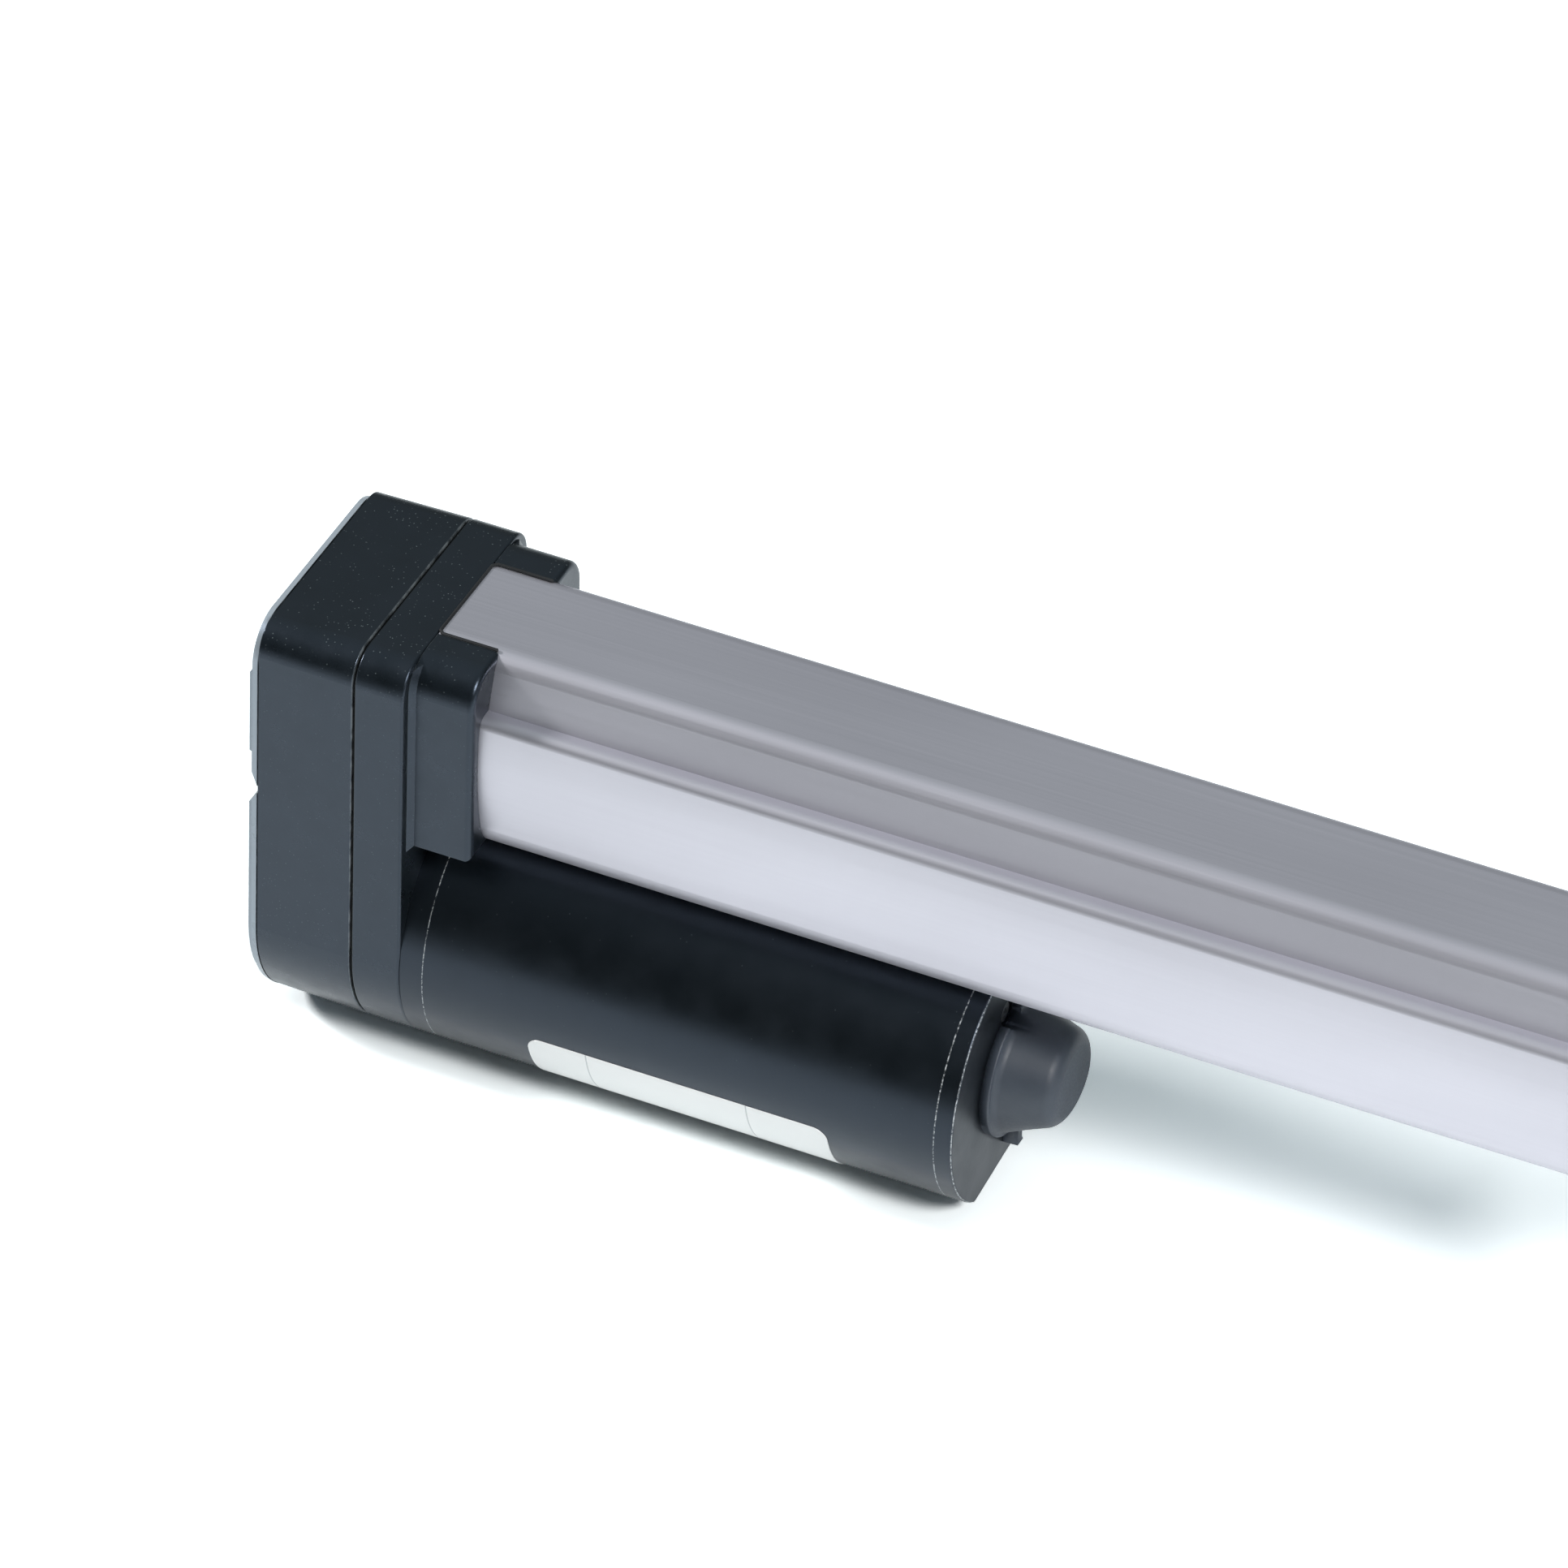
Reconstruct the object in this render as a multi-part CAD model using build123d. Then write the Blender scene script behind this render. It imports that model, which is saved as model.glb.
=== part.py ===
from build123d import *
import math
import os

# Electric linear actuator with the motor slung beside the spindle.
# X runs along the spindle from the rear face to the rod eye, Z is up, Y is across.
# The origin is on the spindle's axis, in the rear mounting face. Sizes are in millimetres.

# Motor, which also sets the width of the gearcase that it sits flush with
motor_diameter = 63.0
motor_can_wall = 2.2
motor_flat_drop = 24.5          # motor axis to the flat under the can
motor_roll = 7.4                # the motor sits turned about its own axis, degrees
ring_thickness = 5.5
cap_thickness = 4.3
motor_pilot_diameter = 27.0
motor_pilot_length = 5.0
motor_shaft_diameter = 8.0
motor_bearing_diameter = 22.0
motor_bearing_width = 7.0
motor_bolt_radius = 18.2
motor_bolt_turn = 11.0          # cap screws beside the vertical, degrees
motor_can_round = 2.0           # where the flats meet the round of the can
mount_screw_step = 2.8          # screws that hold the motor sit this far outside the cap's screws
cap_spigot = 4.0                # how far the end cap reaches into the can
cap_boss_wall = 2.5
cap_edge = 0.6

# Inside the motor, which sets the length of the can
magnet_start = 17.0             # behind the front ring
magnet_overhang = 6.0           # magnets longer than the armature, at each end
magnet_thickness = 6.9
magnet_height = 34.0
armature_length = 58.0
armature_gap = 0.4
armature_slots = 12
armature_slot_radius = 1.6
armature_slot_depth = 1.0
coil_front_reach = 9.0
coil_rear_reach = 10.0
coil_radius = 19.5
coil_round = 3.0
commutator_gap = 2.0            # between the coil and the commutator
commutator_length = 15.0
commutator_radius = 10.0
brush_plate_thickness = 2.5
motor_rear_room = 15.0          # behind the brush plate, for the rear bearing
brush_plate_hole = 12.0
brush_post_radius = 3.2
brush_box_setback = 3.0         # from the start of the commutator
brush_box_width = 9.0
brush_box_radius = 10.5         # motor axis to the inner end of each box
brush_box_length = 11.0
brush_inset = 2.0               # brush behind the front of its box, and as far before its back
brush_size = 6.0
brush_reach = 21.1

# Gearcase
rear_pad_height = 2.5           # both steps of the rear face together
rear_step_height = 1.5          # the lower step, which also runs across the top
rear_shell_depth = 23.2
front_shell_depth = 11.9
gasket_thickness = 0.6
gasket_inset = 1.0
case_wall = 3.0
case_corner = 7.5
rear_step_corner = 10.5
case_draft = 1.2                # degrees, towards the rear
rear_edge_round = 0.3
parting_edge_round = 0.4
front_edge_round = 0.8
rear_step_inset = 0.4
pad_inset = 1.4
pad_draft = 12.0
pad_top = 13.8
groove_top = -11.2              # the groove between the pads, with both its sides slanting
groove_upper_foot = -16.7
groove_lower_foot = -18.7
groove_bottom = -22.6
post_radius = 4.0               # inside the case, around each case screw
post_inset = 1.5                # posts and bosses stop this far inside the outline
mount_boss_radius = 6.5
idler_boss_radius = 7.5
case_screw_rows = ((7.3, 19.6), (4.6, -10.5), (9.0, -70.5))     # inset from the side, height
collar_length = 15.1
collar_half_width = 27.8
collar_corner = 8.0
collar_opening = 28.8           # width of the gap between the two jaws on top
collar_bottom_gap = 1.9         # how far the jaws stop above the underside of the tube
collar_edge_round = 1.6
collar_root = 1.3               # slant where the jaws meet the flange
mount_thread_diameter = 6.8     # drilled for M8
mount_thread_depth = 12.0
mount_spacing = 40.0
mount_lower_drop = 76.0         # spindle axis to the lower threaded hole

# Gear train: motor pinion, two-step idler, spindle gear
pinion_teeth = 12
idler_large_teeth = 34
idler_small_teeth = 14
spindle_teeth = 32
pressure_angle = 25.0
tooth_addendum = 0.9            # in modules
tooth_dedendum = 1.15
tooth_backlash = 0.16
gear_room = 1.73                # between the largest gear and the case wall
idler_side = 4.4                # idler axle beside the line of the two main axes
gear_face = 7.0
gear_gap = 1.0
idler_axle_diameter = 8.0

# Spindle and its bearing
spindle_diameter = 14.0
spindle_tail_diameter = 8.0
spindle_gear_seat = 12.0
spindle_bearing_bore = 15.0
spindle_bearing_diameter = 35.0
spindle_bearing_width = 11.0
bearing_lip = 2.0
motor_ring_wall = 3.2
bush_wall = 1.5
gear_web = 1.5                  # depth of the recess in each side of a wheel
gear_rim = 4.0                  # pitch circle to the recess
gear_hub = 3.5
gear_hole_radius = 2.2
gear_holes = 6
pinion_overlap = 0.4            # pinion wider than its mate, at each end
spindle_collar_diameter = 19.0
spindle_collar_length = 3.0

# Outer tube, an aluminium extrusion: narrow upper part, ledge, round-sided lower body
tube_top = 26.8
tube_bottom = 24.5
tube_top_flat = 12.1            # half width of the flat on top
tube_top_round = 5.0
tube_side_tilt = 18.0           # lean of the upper side faces, degrees
tube_ledge_height = 14.5
tube_half_width = 24.85
tube_side_bulge = 75.0          # radius of the bulged side
tube_bulge_height = 2.0         # height of the widest point
tube_shoulder_round = 2.6
tube_bottom_round = 11.0
tube_bore = 38.0
channel_width = 20.0
channel_bottom = 19.8
channel_top = 24.2
key_slot_width = 9.0
key_rise = 0.8                  # how far the nut's key reaches into the channel
tube_screw_radius = 24.6
tube_screw_depth = 18.0
upper_screw_angle = 52.8        # from the horizontal, seen along the spindle
lower_screw_angle = 45.0

# Push rod, nut and rod eye
stroke = 200.0
stroke_reserve = 16.0           # the nut stops this far from the guide bush
nut_length = 34.0
nut_start_gap = 5.0
nut_rod_overlap = 12.0
rod_diameter = 30.0
rod_bore = 22.0
rod_standout = 9.0              # rod in front of the end cap when it is home
eye_bore = 12.2
eye_outer_diameter = 29.0
eye_width = 20.0
eye_reach = 22.0                # rod face to the centre of the eye
eye_neck = 4.0
eye_spigot = 18.0
eye_shank_height = 22.0
eye_chamfer = 0.8
nut_chamfer = 1.0
nut_key_inset = 4.0             # key shorter than the nut, at each end
cross_pin_short = 0.3           # below the rod's surface, at each end
cross_pin_diameter = 4.0

# Front end cap and its bush and wiper
end_cap_thickness = 14.0
end_cap_overhang = 1.4
guide_length = 22.0
wiper_thickness = 5.0
wiper_wall = 3.0                # between the rod and the seat in the cap
wiper_back = 1.5                # wiper seat behind the front face, past its thickness
wiper_lip = 1.6
wiper_standout = 0.8
end_cap_round = 1.5
spindle_short = 4.0             # spindle stops this far behind the guide bush
switch_length = 12.8
switch_width = 4.0
switch_board_thickness = 1.6

# Terminal cover on the motor's end: a round base and a dome that narrows to a round end
cover_lift = 1.0                # centre above the motor axis
cover_base_radius = 16.6
cover_base_height = 2.2
cover_foot_radius = 15.4
cover_end_radius = 11.3
cover_height = 15.4
cover_round = 4.0
cover_edge = 0.5
cover_tab_width = 4.0
cover_tab_length = 3.6
cover_tab_reach = 4.4           # below the base
screw_access = 3.3              # radius of the recess round each cap screw

# Label on the lower front of the can
label_length = 73.0
label_start = 25.5              # behind it the can is bare from the ring on
label_top_angle = 13.0          # below the horizontal, degrees
label_bottom_angle = 56.0
label_thickness = 0.2
label_corner = 3.4

# Screws
case_screw_diameter = 4.0
case_screw_head = 7.0
screw_head_height = 4.0
screw_socket_share = 0.5        # socket size as a share of the head
screw_socket_depth = 0.55       # as a share of the head's height
screw_grip = 12.0               # thread length in the tube
cap_screw_height = 1.8
cap_screw_seat = 2.2            # depth of the counterbore
cap_screw_diameter = 3.0
cap_screw_head = 5.0

# Running clearances, on the radius
shaft_clearance = 0.05
slide_clearance = 0.10
ring_clearance = 0.30
collar_clearance = 1.2          # around the spindle's collar in the front wall
pocket_clearance = 0.5
head_clearance = 0.3            # around and behind a sunk screw head
wall_seat = 1.0                 # how far a shaft's end is let into the rear wall
hole_clearance = 0.2            # around a screw that passes through
tip_gap = 0.5                   # in front of the end of a shaft or screw in a blind hole
past = 1.0                      # how far a cutting tool runs past the face it opens

# Lengths and stations along X, worked out from the sizes above
armature_start = magnet_start + magnet_overhang
armature_end = armature_start + armature_length
magnet_length = armature_length + 2 * magnet_overhang
commutator_start = armature_end + coil_rear_reach + commutator_gap
brush_box_start = commutator_start + brush_box_setback
brush_start = brush_box_start + brush_inset
brush_depth = brush_box_length - 2 * brush_inset
brush_plate_start = brush_box_start + brush_box_length
motor_can_length = brush_plate_start + brush_plate_thickness + motor_rear_room
tube_length = spindle_collar_length + nut_start_gap + nut_length + stroke + stroke_reserve + guide_length
rear_face = rear_pad_height
rear_shell_end = rear_face + rear_shell_depth
front_shell_start = rear_shell_end + gasket_thickness
flange_x = front_shell_start + front_shell_depth
front_wall_x = flange_x - case_wall
rear_wall_x = rear_face + case_wall
collar_end = flange_x + collar_length
ring_end = flange_x + ring_thickness
can_end = ring_end + motor_can_length
cap_end = can_end + cap_thickness
bearing_end = flange_x - bearing_lip
bearing_start = bearing_end - spindle_bearing_width
plane_b_end = bearing_start - gear_gap / 2
plane_b = plane_b_end - gear_face
plane_a = plane_b - gear_gap - gear_face
tube_end = flange_x + tube_length
end_cap_end = tube_end + end_cap_thickness
nut_start = flange_x + spindle_collar_length + nut_start_gap
nut_end = nut_start + nut_length
rod_start = nut_end - nut_rod_overlap
rod_end = end_cap_end + rod_standout
eye_x = rod_end + eye_reach
guide_start = tube_end - guide_length
spindle_end = guide_start - spindle_short

# Gears fill the room between the case walls, and the axes follow from them
motor_radius = motor_diameter / 2
gear_module = (motor_radius - case_wall - gear_room - idler_side) / (
    idler_large_teeth / 2 + tooth_addendum)
motor_mesh = gear_module * (pinion_teeth + idler_large_teeth) / 2
spindle_mesh = gear_module * (idler_small_teeth + spindle_teeth) / 2
motor_to_idler = math.sqrt(motor_mesh ** 2 - idler_side ** 2)
idler_z = -math.sqrt(spindle_mesh ** 2 - idler_side ** 2)
motor_z = idler_z - motor_to_idler
spindle_at = (0.0, 0.0)
idler_at = (idler_side, idler_z)
motor_at = (0.0, motor_z)
case_height = tube_top - motor_z + motor_radius
pinion_start = plane_a - pinion_overlap
tail_start = rear_wall_x - wall_seat
wiper_start = end_cap_end - wiper_thickness - wiper_back
wiper_diameter = rod_diameter + 2 * wiper_wall


# Helpers

def across(x):
    """Sketch plane square to the spindle: local x is Y, local y is Z."""
    return Plane(origin=(x, 0, 0), x_dir=(0, 1, 0), z_dir=(1, 0, 0))


def rod_along_x(x0, x1, radius, y=0.0, z=0.0):
    disc = across(x0) * Pos(y, z) * Circle(radius)
    return extrude(disc, amount=x1 - x0)


def pipe_along_x(x0, x1, outer, inner, y=0.0, z=0.0):
    return rod_along_x(x0, x1, outer, y, z) - rod_along_x(x0, x1, inner, y, z)


def edges_at_x(part, x, tolerance=0.01):
    return part.edges().filter_by_position(Axis.X, x - tolerance, x + tolerance)


def save(name, *solids):
    os.makedirs("parts", exist_ok=True)
    found = []
    for solid in solids:
        found += solid.solids()
    shape = found[0] if len(found) == 1 else Compound(children=found)
    export_step(shape, f"parts/{name}.step")


def polar(radius, degrees):
    angle = math.radians(degrees)
    return radius * math.cos(angle), radius * math.sin(angle)


def mirrored(places):
    return [(side * y, z) for y, z in places for side in (1, -1)]


# Outlines

def case_outline(inset=0.0, corner=case_corner):
    """Rounded top corners, and a half round about the motor axis below."""
    half = motor_radius - inset
    top = tube_top - inset
    upper = Pos(0, (top + motor_z) / 2) * Rectangle(2 * half, top - motor_z)
    corners = upper.vertices().sort_by(Axis.Y)[-2:]
    upper = fillet(corners, corner - inset)
    return upper + Pos(0, motor_z) * Circle(half)


def tube_outline(grow=0.0):
    """Section of the extrusion, mirrored about its middle."""
    tilt = math.radians(tube_side_tilt)
    top = tube_top + grow
    corner = tube_top_round + grow
    # where the flat top would meet the leaning side if the corner were sharp
    sharp = tube_top_flat + corner * math.tan((math.pi / 2 - tilt) / 2)
    ledge = tube_ledge_height + grow
    upper_foot = sharp + (top - ledge) * math.tan(tilt)
    bulge = tube_side_bulge + grow
    centre = tube_half_width - tube_side_bulge

    def side(z):
        return centre + math.sqrt(bulge ** 2 - (z - tube_bulge_height) ** 2)

    bottom = -tube_bottom - grow
    with BuildSketch() as section:
        with BuildLine():
            Polyline((0, bottom), (0, top), (sharp, top), (upper_foot, ledge), (side(ledge), ledge))
            ThreePointArc((side(ledge), ledge), (side(tube_bulge_height), tube_bulge_height),
                          (side(bottom), bottom))
            Line((side(bottom), bottom), (0, bottom))
        make_face()
        outer = section.vertices().sort_by(Axis.X)
        by_height = sorted([v for v in outer if v.X > 1.0], key=lambda v: v.Y)
        fillet(by_height[0], tube_bottom_round + grow)
        shoulder = [v for v in section.vertices() if abs(v.Y - ledge) < 0.01 and v.X > upper_foot + 0.5]
        fillet(shoulder, tube_shoulder_round + grow)
        corner_top = [v for v in section.vertices() if abs(v.Y - top) < 0.01 and v.X > 1.0]
        fillet(corner_top, corner)
        mirror(about=Plane.YZ)
    return section.sketch


def motor_place():
    return Pos(*motor_at) * Rot(0, 0, motor_roll)


def can_outline(radius, flat):
    """Round can with one flat below, turned about the motor axis."""
    kept = Pos(0, (radius - flat) / 2) * Rectangle(2 * radius, radius + flat)
    can = Circle(radius) & kept
    corners = can.vertices().sort_by(Axis.Y)[:2]
    return motor_place() * fillet(corners, motor_can_round)


tube_screws_at = mirrored([polar(tube_screw_radius, upper_screw_angle),
                           polar(tube_screw_radius, -lower_screw_angle)])
case_screws_at = mirrored([(motor_radius - inset, z) for inset, z in case_screw_rows])
motor_screws_at = [polar(motor_bolt_radius + mount_screw_step, motor_roll + a) for a in (0, 180)]
motor_screws_at = [(y, motor_z + z) for y, z in motor_screws_at]
cap_screws_at = [polar(motor_bolt_radius, 90 + motor_bolt_turn + a) for a in (0, 180)]
cap_screws_at = [(y, motor_z + z) for y, z in cap_screws_at]
mount_holes_at = [(mount_spacing / 2, 0.0), (-mount_spacing / 2, 0.0), (0.0, -mount_lower_drop)]


# Screws: a socket head on a plain shank, pointing along +X or -X

def socket_screw(y, z, head_x, tip_x, shank, head, height):
    way = 1 if tip_x > head_x else -1
    low, high = sorted((head_x, head_x + way * height))
    body = rod_along_x(low, high, head / 2, y, z)
    low, high = sorted((head_x + way * height, tip_x))
    body += rod_along_x(low, high, shank / 2, y, z)
    socket = across(head_x) * Pos(y, z) * RegularPolygon(head * screw_socket_share / 2, 6)
    return body - extrude(socket, amount=way * height * screw_socket_depth)


def case_screw(y, z, head_x, tip_x):
    return socket_screw(y, z, head_x, tip_x, case_screw_diameter, case_screw_head, screw_head_height)


def cap_screw(y, z):
    """Holds the brush holder's post to the motor's end cap."""
    head_x = cap_end - cap_screw_seat + cap_screw_height
    return socket_screw(y, z, head_x, ring_end + brush_plate_start,
                        cap_screw_diameter, cap_screw_head, cap_screw_height)


# Gearcase

def rear_pads():
    """A low step all over the rear face, higher pads on it, and a groove across both."""
    step_face = rear_face - rear_step_height
    outline = case_outline(rear_step_inset, rear_step_corner)
    step = extrude(across(rear_face) * outline, amount=-rear_step_height, taper=pad_draft)
    below = Pos(0, pad_top - case_height / 2) * Rectangle(case_height, case_height)
    outline = case_outline(pad_inset) & below
    pad = extrude(across(step_face) * outline, amount=-step_face, taper=pad_draft)
    side = Plane(origin=(0, -motor_radius, 0), x_dir=(1, 0, 0), z_dir=(0, -1, 0))
    gap = Polyline((0, groove_top), (rear_face, groove_upper_foot), (rear_face, groove_lower_foot),
                   (0, groove_bottom), close=True)
    return step + pad - extrude(side * make_face(gap), amount=-2 * motor_radius)


def make_rear_cover():
    shell = extrude(across(rear_shell_end) * case_outline(), amount=-rear_shell_depth, taper=case_draft)
    shell = fillet(edges_at_x(shell, rear_face), rear_edge_round)
    shell = fillet(edges_at_x(shell, rear_shell_end), parting_edge_round)
    cavity = extrude(across(rear_shell_end) * case_outline(case_wall), amount=rear_wall_x - rear_shell_end)
    shell = shell - cavity + rear_pads()
    inside = extrude(across(rear_face) * case_outline(post_inset), amount=rear_shell_depth)
    for y, z in case_screws_at:
        shell += rod_along_x(rear_face, rear_shell_end, post_radius, y, z) & inside
    for y, z in mount_holes_at:
        boss = rod_along_x(rear_face, mount_thread_depth + rear_pad_height, mount_boss_radius, y, z)
        shell += boss & inside
    bush_radius = spindle_tail_diameter / 2 + bush_wall
    boss_end = plane_a - gear_gap / 2
    shell += rod_along_x(rear_face, boss_end, bush_radius + bush_wall)
    shell += rod_along_x(rear_face, boss_end, idler_boss_radius, *idler_at)
    head_end = rear_face + tip_gap + screw_head_height
    for y, z in case_screws_at:
        shell -= rod_along_x(-past, rear_shell_end + past, case_screw_diameter / 2 + hole_clearance, y, z)
        shell -= rod_along_x(-past, head_end, case_screw_head / 2 + head_clearance, y, z)
    for y, z in mount_holes_at:
        shell -= rod_along_x(-past, mount_thread_depth, mount_thread_diameter / 2, y, z)
    shell -= rod_along_x(tail_start - tip_gap, boss_end + past, bush_radius)
    return shell - rod_along_x(tail_start - tip_gap, boss_end + past, idler_axle_diameter / 2, *idler_at)


def make_gasket():
    ring = case_outline(gasket_inset) - case_outline(case_wall)
    seal = extrude(across(rear_shell_end) * ring, amount=gasket_thickness)
    for y, z in case_screws_at:
        seal -= rod_along_x(rear_shell_end - past, front_shell_start + past,
                            case_screw_diameter / 2 + hole_clearance, y, z)
    return seal


def collar_outline(grow=0.0):
    low = -tube_bottom + collar_bottom_gap
    height = tube_top - low
    block = Pos(0, low + height / 2) * Rectangle(2 * (collar_half_width + grow), height + 2 * grow)
    return fillet(block.vertices().sort_by(Axis.Y)[-2:], collar_corner + grow)


def make_collar():
    """Two jaws that grip the sides of the tube, open above and below."""
    collar = extrude(across(flange_x) * collar_outline(), amount=collar_length)
    collar = fillet(edges_at_x(collar, collar_end), collar_edge_round)
    root = extrude(across(flange_x) * collar_outline(collar_root), amount=collar_root, taper=45)
    collar += root & extrude(across(flange_x) * case_outline(collar_root), amount=collar_length)
    collar -= extrude(across(flange_x) * tube_outline(slide_clearance), amount=collar_length + past)
    window = Pos(0, tube_top) * Rectangle(collar_opening, 2 * tube_top_round)
    below = Pos(0, -tube_bottom) * Rectangle(collar_opening, 2 * tube_top_round)
    return collar - extrude(across(flange_x) * (window + below), amount=collar_length)


def make_front_housing():
    body = extrude(across(front_shell_start) * case_outline(), amount=front_shell_depth)
    body = fillet(edges_at_x(body, flange_x), front_edge_round)
    body = fillet(edges_at_x(body, front_shell_start), parting_edge_round)
    cavity = across(front_shell_start) * case_outline(case_wall)
    body -= extrude(cavity, amount=front_wall_x - front_shell_start)
    inside = extrude(across(front_shell_start) * case_outline(post_inset), amount=front_shell_depth)
    for y, z in case_screws_at:
        body += rod_along_x(front_shell_start, flange_x, post_radius, y, z) & inside
    bearing_radius = spindle_bearing_diameter / 2
    boss_start = plane_b_end + gear_gap
    body += rod_along_x(boss_start, flange_x, bearing_radius + case_wall)
    body += rod_along_x(boss_start, flange_x, idler_boss_radius, *idler_at)
    body += make_collar()
    body -= rod_along_x(boss_start - past, bearing_end, bearing_radius)
    body -= rod_along_x(bearing_end - past, flange_x + past, spindle_collar_diameter / 2 + collar_clearance)
    body -= rod_along_x(boss_start - past, front_wall_x, idler_axle_diameter / 2, *idler_at)
    body -= rod_along_x(front_wall_x - past, flange_x + past, motor_pilot_diameter / 2, *motor_at)
    for y, z in case_screws_at:
        body -= rod_along_x(front_shell_start - past, front_wall_x, case_screw_diameter / 2, y, z)
    for y, z in tube_screws_at:
        body -= rod_along_x(front_wall_x - screw_head_height - head_clearance, front_wall_x,
                            case_screw_head / 2 + slide_clearance, y, z)
    for y, z in tube_screws_at + motor_screws_at:
        body -= rod_along_x(front_wall_x - past, flange_x + past, case_screw_diameter / 2, y, z)
    return body


# Gears

def gear_outline(teeth, phase):
    """Involute teeth, each flank in short straight cuts that stay inside the true curve."""
    pitch = gear_module * teeth / 2
    alpha = math.radians(pressure_angle)
    base = pitch * math.cos(alpha)
    root = pitch - tooth_dedendum * gear_module
    tip = pitch + tooth_addendum * gear_module
    half = math.pi / (2 * teeth) - tooth_backlash / (2 * pitch) + math.tan(alpha) - alpha

    def flank(radius):
        turn = math.acos(min(1.0, base / radius))
        return half - (math.tan(turn) - turn)

    start = max(base, root)
    steps = [start + (tip - start) * share for share in (0.0, 0.3, 0.65, 1.0)]
    if root < base:
        steps = [root] + steps
    points = []
    for tooth in range(teeth):
        centre = phase + 2 * math.pi * tooth / teeth
        rising = [(r, centre - flank(r)) for r in steps]
        falling = [(r, centre + flank(r)) for r in reversed(steps)]
        points += [(r * math.cos(a), r * math.sin(a)) for r, a in rising + falling]
    return make_face(Polyline(*points, close=True))


def meshed_phase(here, there, phase, teeth, mate_teeth):
    """Phase that puts a gap of the mate opposite the tooth of the gear that drives it."""
    heading = math.atan2(there[1] - here[1], there[0] - here[0])
    pitches = (heading - phase) * teeth / (2 * math.pi)
    return heading + math.pi - (0.5 - pitches) * 2 * math.pi / mate_teeth


pinion_phase = math.pi / 2
idler_phase = meshed_phase(motor_at, idler_at, pinion_phase, pinion_teeth, idler_large_teeth)
small_phase = math.pi / 2
spindle_phase = meshed_phase(idler_at, spindle_at, small_phase, idler_small_teeth, spindle_teeth)


def make_pinion():
    outline = Pos(*motor_at) * gear_outline(pinion_teeth, pinion_phase)
    wheel = extrude(across(pinion_start) * outline, amount=gear_face + 2 * pinion_overlap)
    return wheel - rod_along_x(pinion_start - past, plane_b, motor_shaft_diameter / 2, *motor_at)


def make_idler_gear():
    large = extrude(across(plane_a) * Pos(*idler_at) * gear_outline(idler_large_teeth, idler_phase),
                    amount=gear_face)
    small = extrude(across(plane_a + gear_face) * Pos(*idler_at)
                    * gear_outline(idler_small_teeth, small_phase),
                    amount=plane_b_end - plane_a - gear_face)
    rim = gear_module * idler_large_teeth / 2 - gear_rim
    hub = idler_axle_diameter / 2 + gear_hub
    wheel = large + small
    wheel -= pipe_along_x(plane_a - past, plane_a + gear_web, rim, hub, *idler_at)
    return wheel - rod_along_x(plane_a - past, plane_b_end + past,
                               idler_axle_diameter / 2 + shaft_clearance, *idler_at)


def make_spindle_gear():
    wheel = extrude(across(plane_b) * gear_outline(spindle_teeth, spindle_phase), amount=gear_face)
    rim = gear_module * spindle_teeth / 2 - gear_rim
    hub = spindle_gear_seat / 2 + gear_hub
    for x in (plane_b, plane_b_end - gear_web):
        wheel -= pipe_along_x(x, x + gear_web, rim, hub)
    wheel += rod_along_x(plane_b_end - gear_web, bearing_start, hub)
    for hole in range(gear_holes):
        y, z = polar((rim + hub) / 2, (hole + 0.5) * 360 / gear_holes)
        wheel -= rod_along_x(plane_b - past, plane_b_end + past, gear_hole_radius, y, z)
    return wheel - rod_along_x(plane_b - past, bearing_start + past, spindle_gear_seat / 2)


# Spindle, idler axle and bearings

def make_lead_screw():
    screw = rod_along_x(tail_start, plane_b, spindle_tail_diameter / 2)
    screw += rod_along_x(plane_b, bearing_start, spindle_gear_seat / 2)
    screw += rod_along_x(bearing_start, bearing_end, spindle_bearing_bore / 2)
    screw += rod_along_x(bearing_end, flange_x + spindle_collar_length, spindle_collar_diameter / 2)
    shaft = rod_along_x(flange_x + spindle_collar_length, spindle_end, spindle_diameter / 2)
    return screw + chamfer(edges_at_x(shaft, spindle_end), nut_chamfer)


def make_spindle_bearing():
    outer = spindle_bearing_diameter / 2
    inner = spindle_bearing_bore / 2
    mid = (outer + inner) / 2 + ring_clearance
    ring = pipe_along_x(bearing_start, bearing_end, outer, mid)
    race = pipe_along_x(bearing_start, bearing_end, mid - ring_clearance, inner)
    return ring, race


def motor_bearing_places():
    front = ring_end - motor_bearing_width
    rear = can_end - cap_spigot - motor_bearing_width
    return front, rear


def make_motor_bearings():
    outer = motor_bearing_diameter / 2
    rings = []
    races = []
    for x in motor_bearing_places():
        end = x + motor_bearing_width
        rings.append(pipe_along_x(x, end, outer, outer - motor_ring_wall, *motor_at))
        races.append(pipe_along_x(x, end, outer - motor_ring_wall - ring_clearance,
                                  motor_shaft_diameter / 2, *motor_at))
    return rings, races


def make_idler_axle():
    return rod_along_x(tail_start, front_wall_x - tip_gap, idler_axle_diameter / 2, *idler_at)


def make_tail_bush():
    outer = spindle_tail_diameter / 2 + bush_wall
    return pipe_along_x(tail_start, plane_a - gear_gap / 2, outer,
                        spindle_tail_diameter / 2 + shaft_clearance)


# Tube, end cap and their fittings

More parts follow.
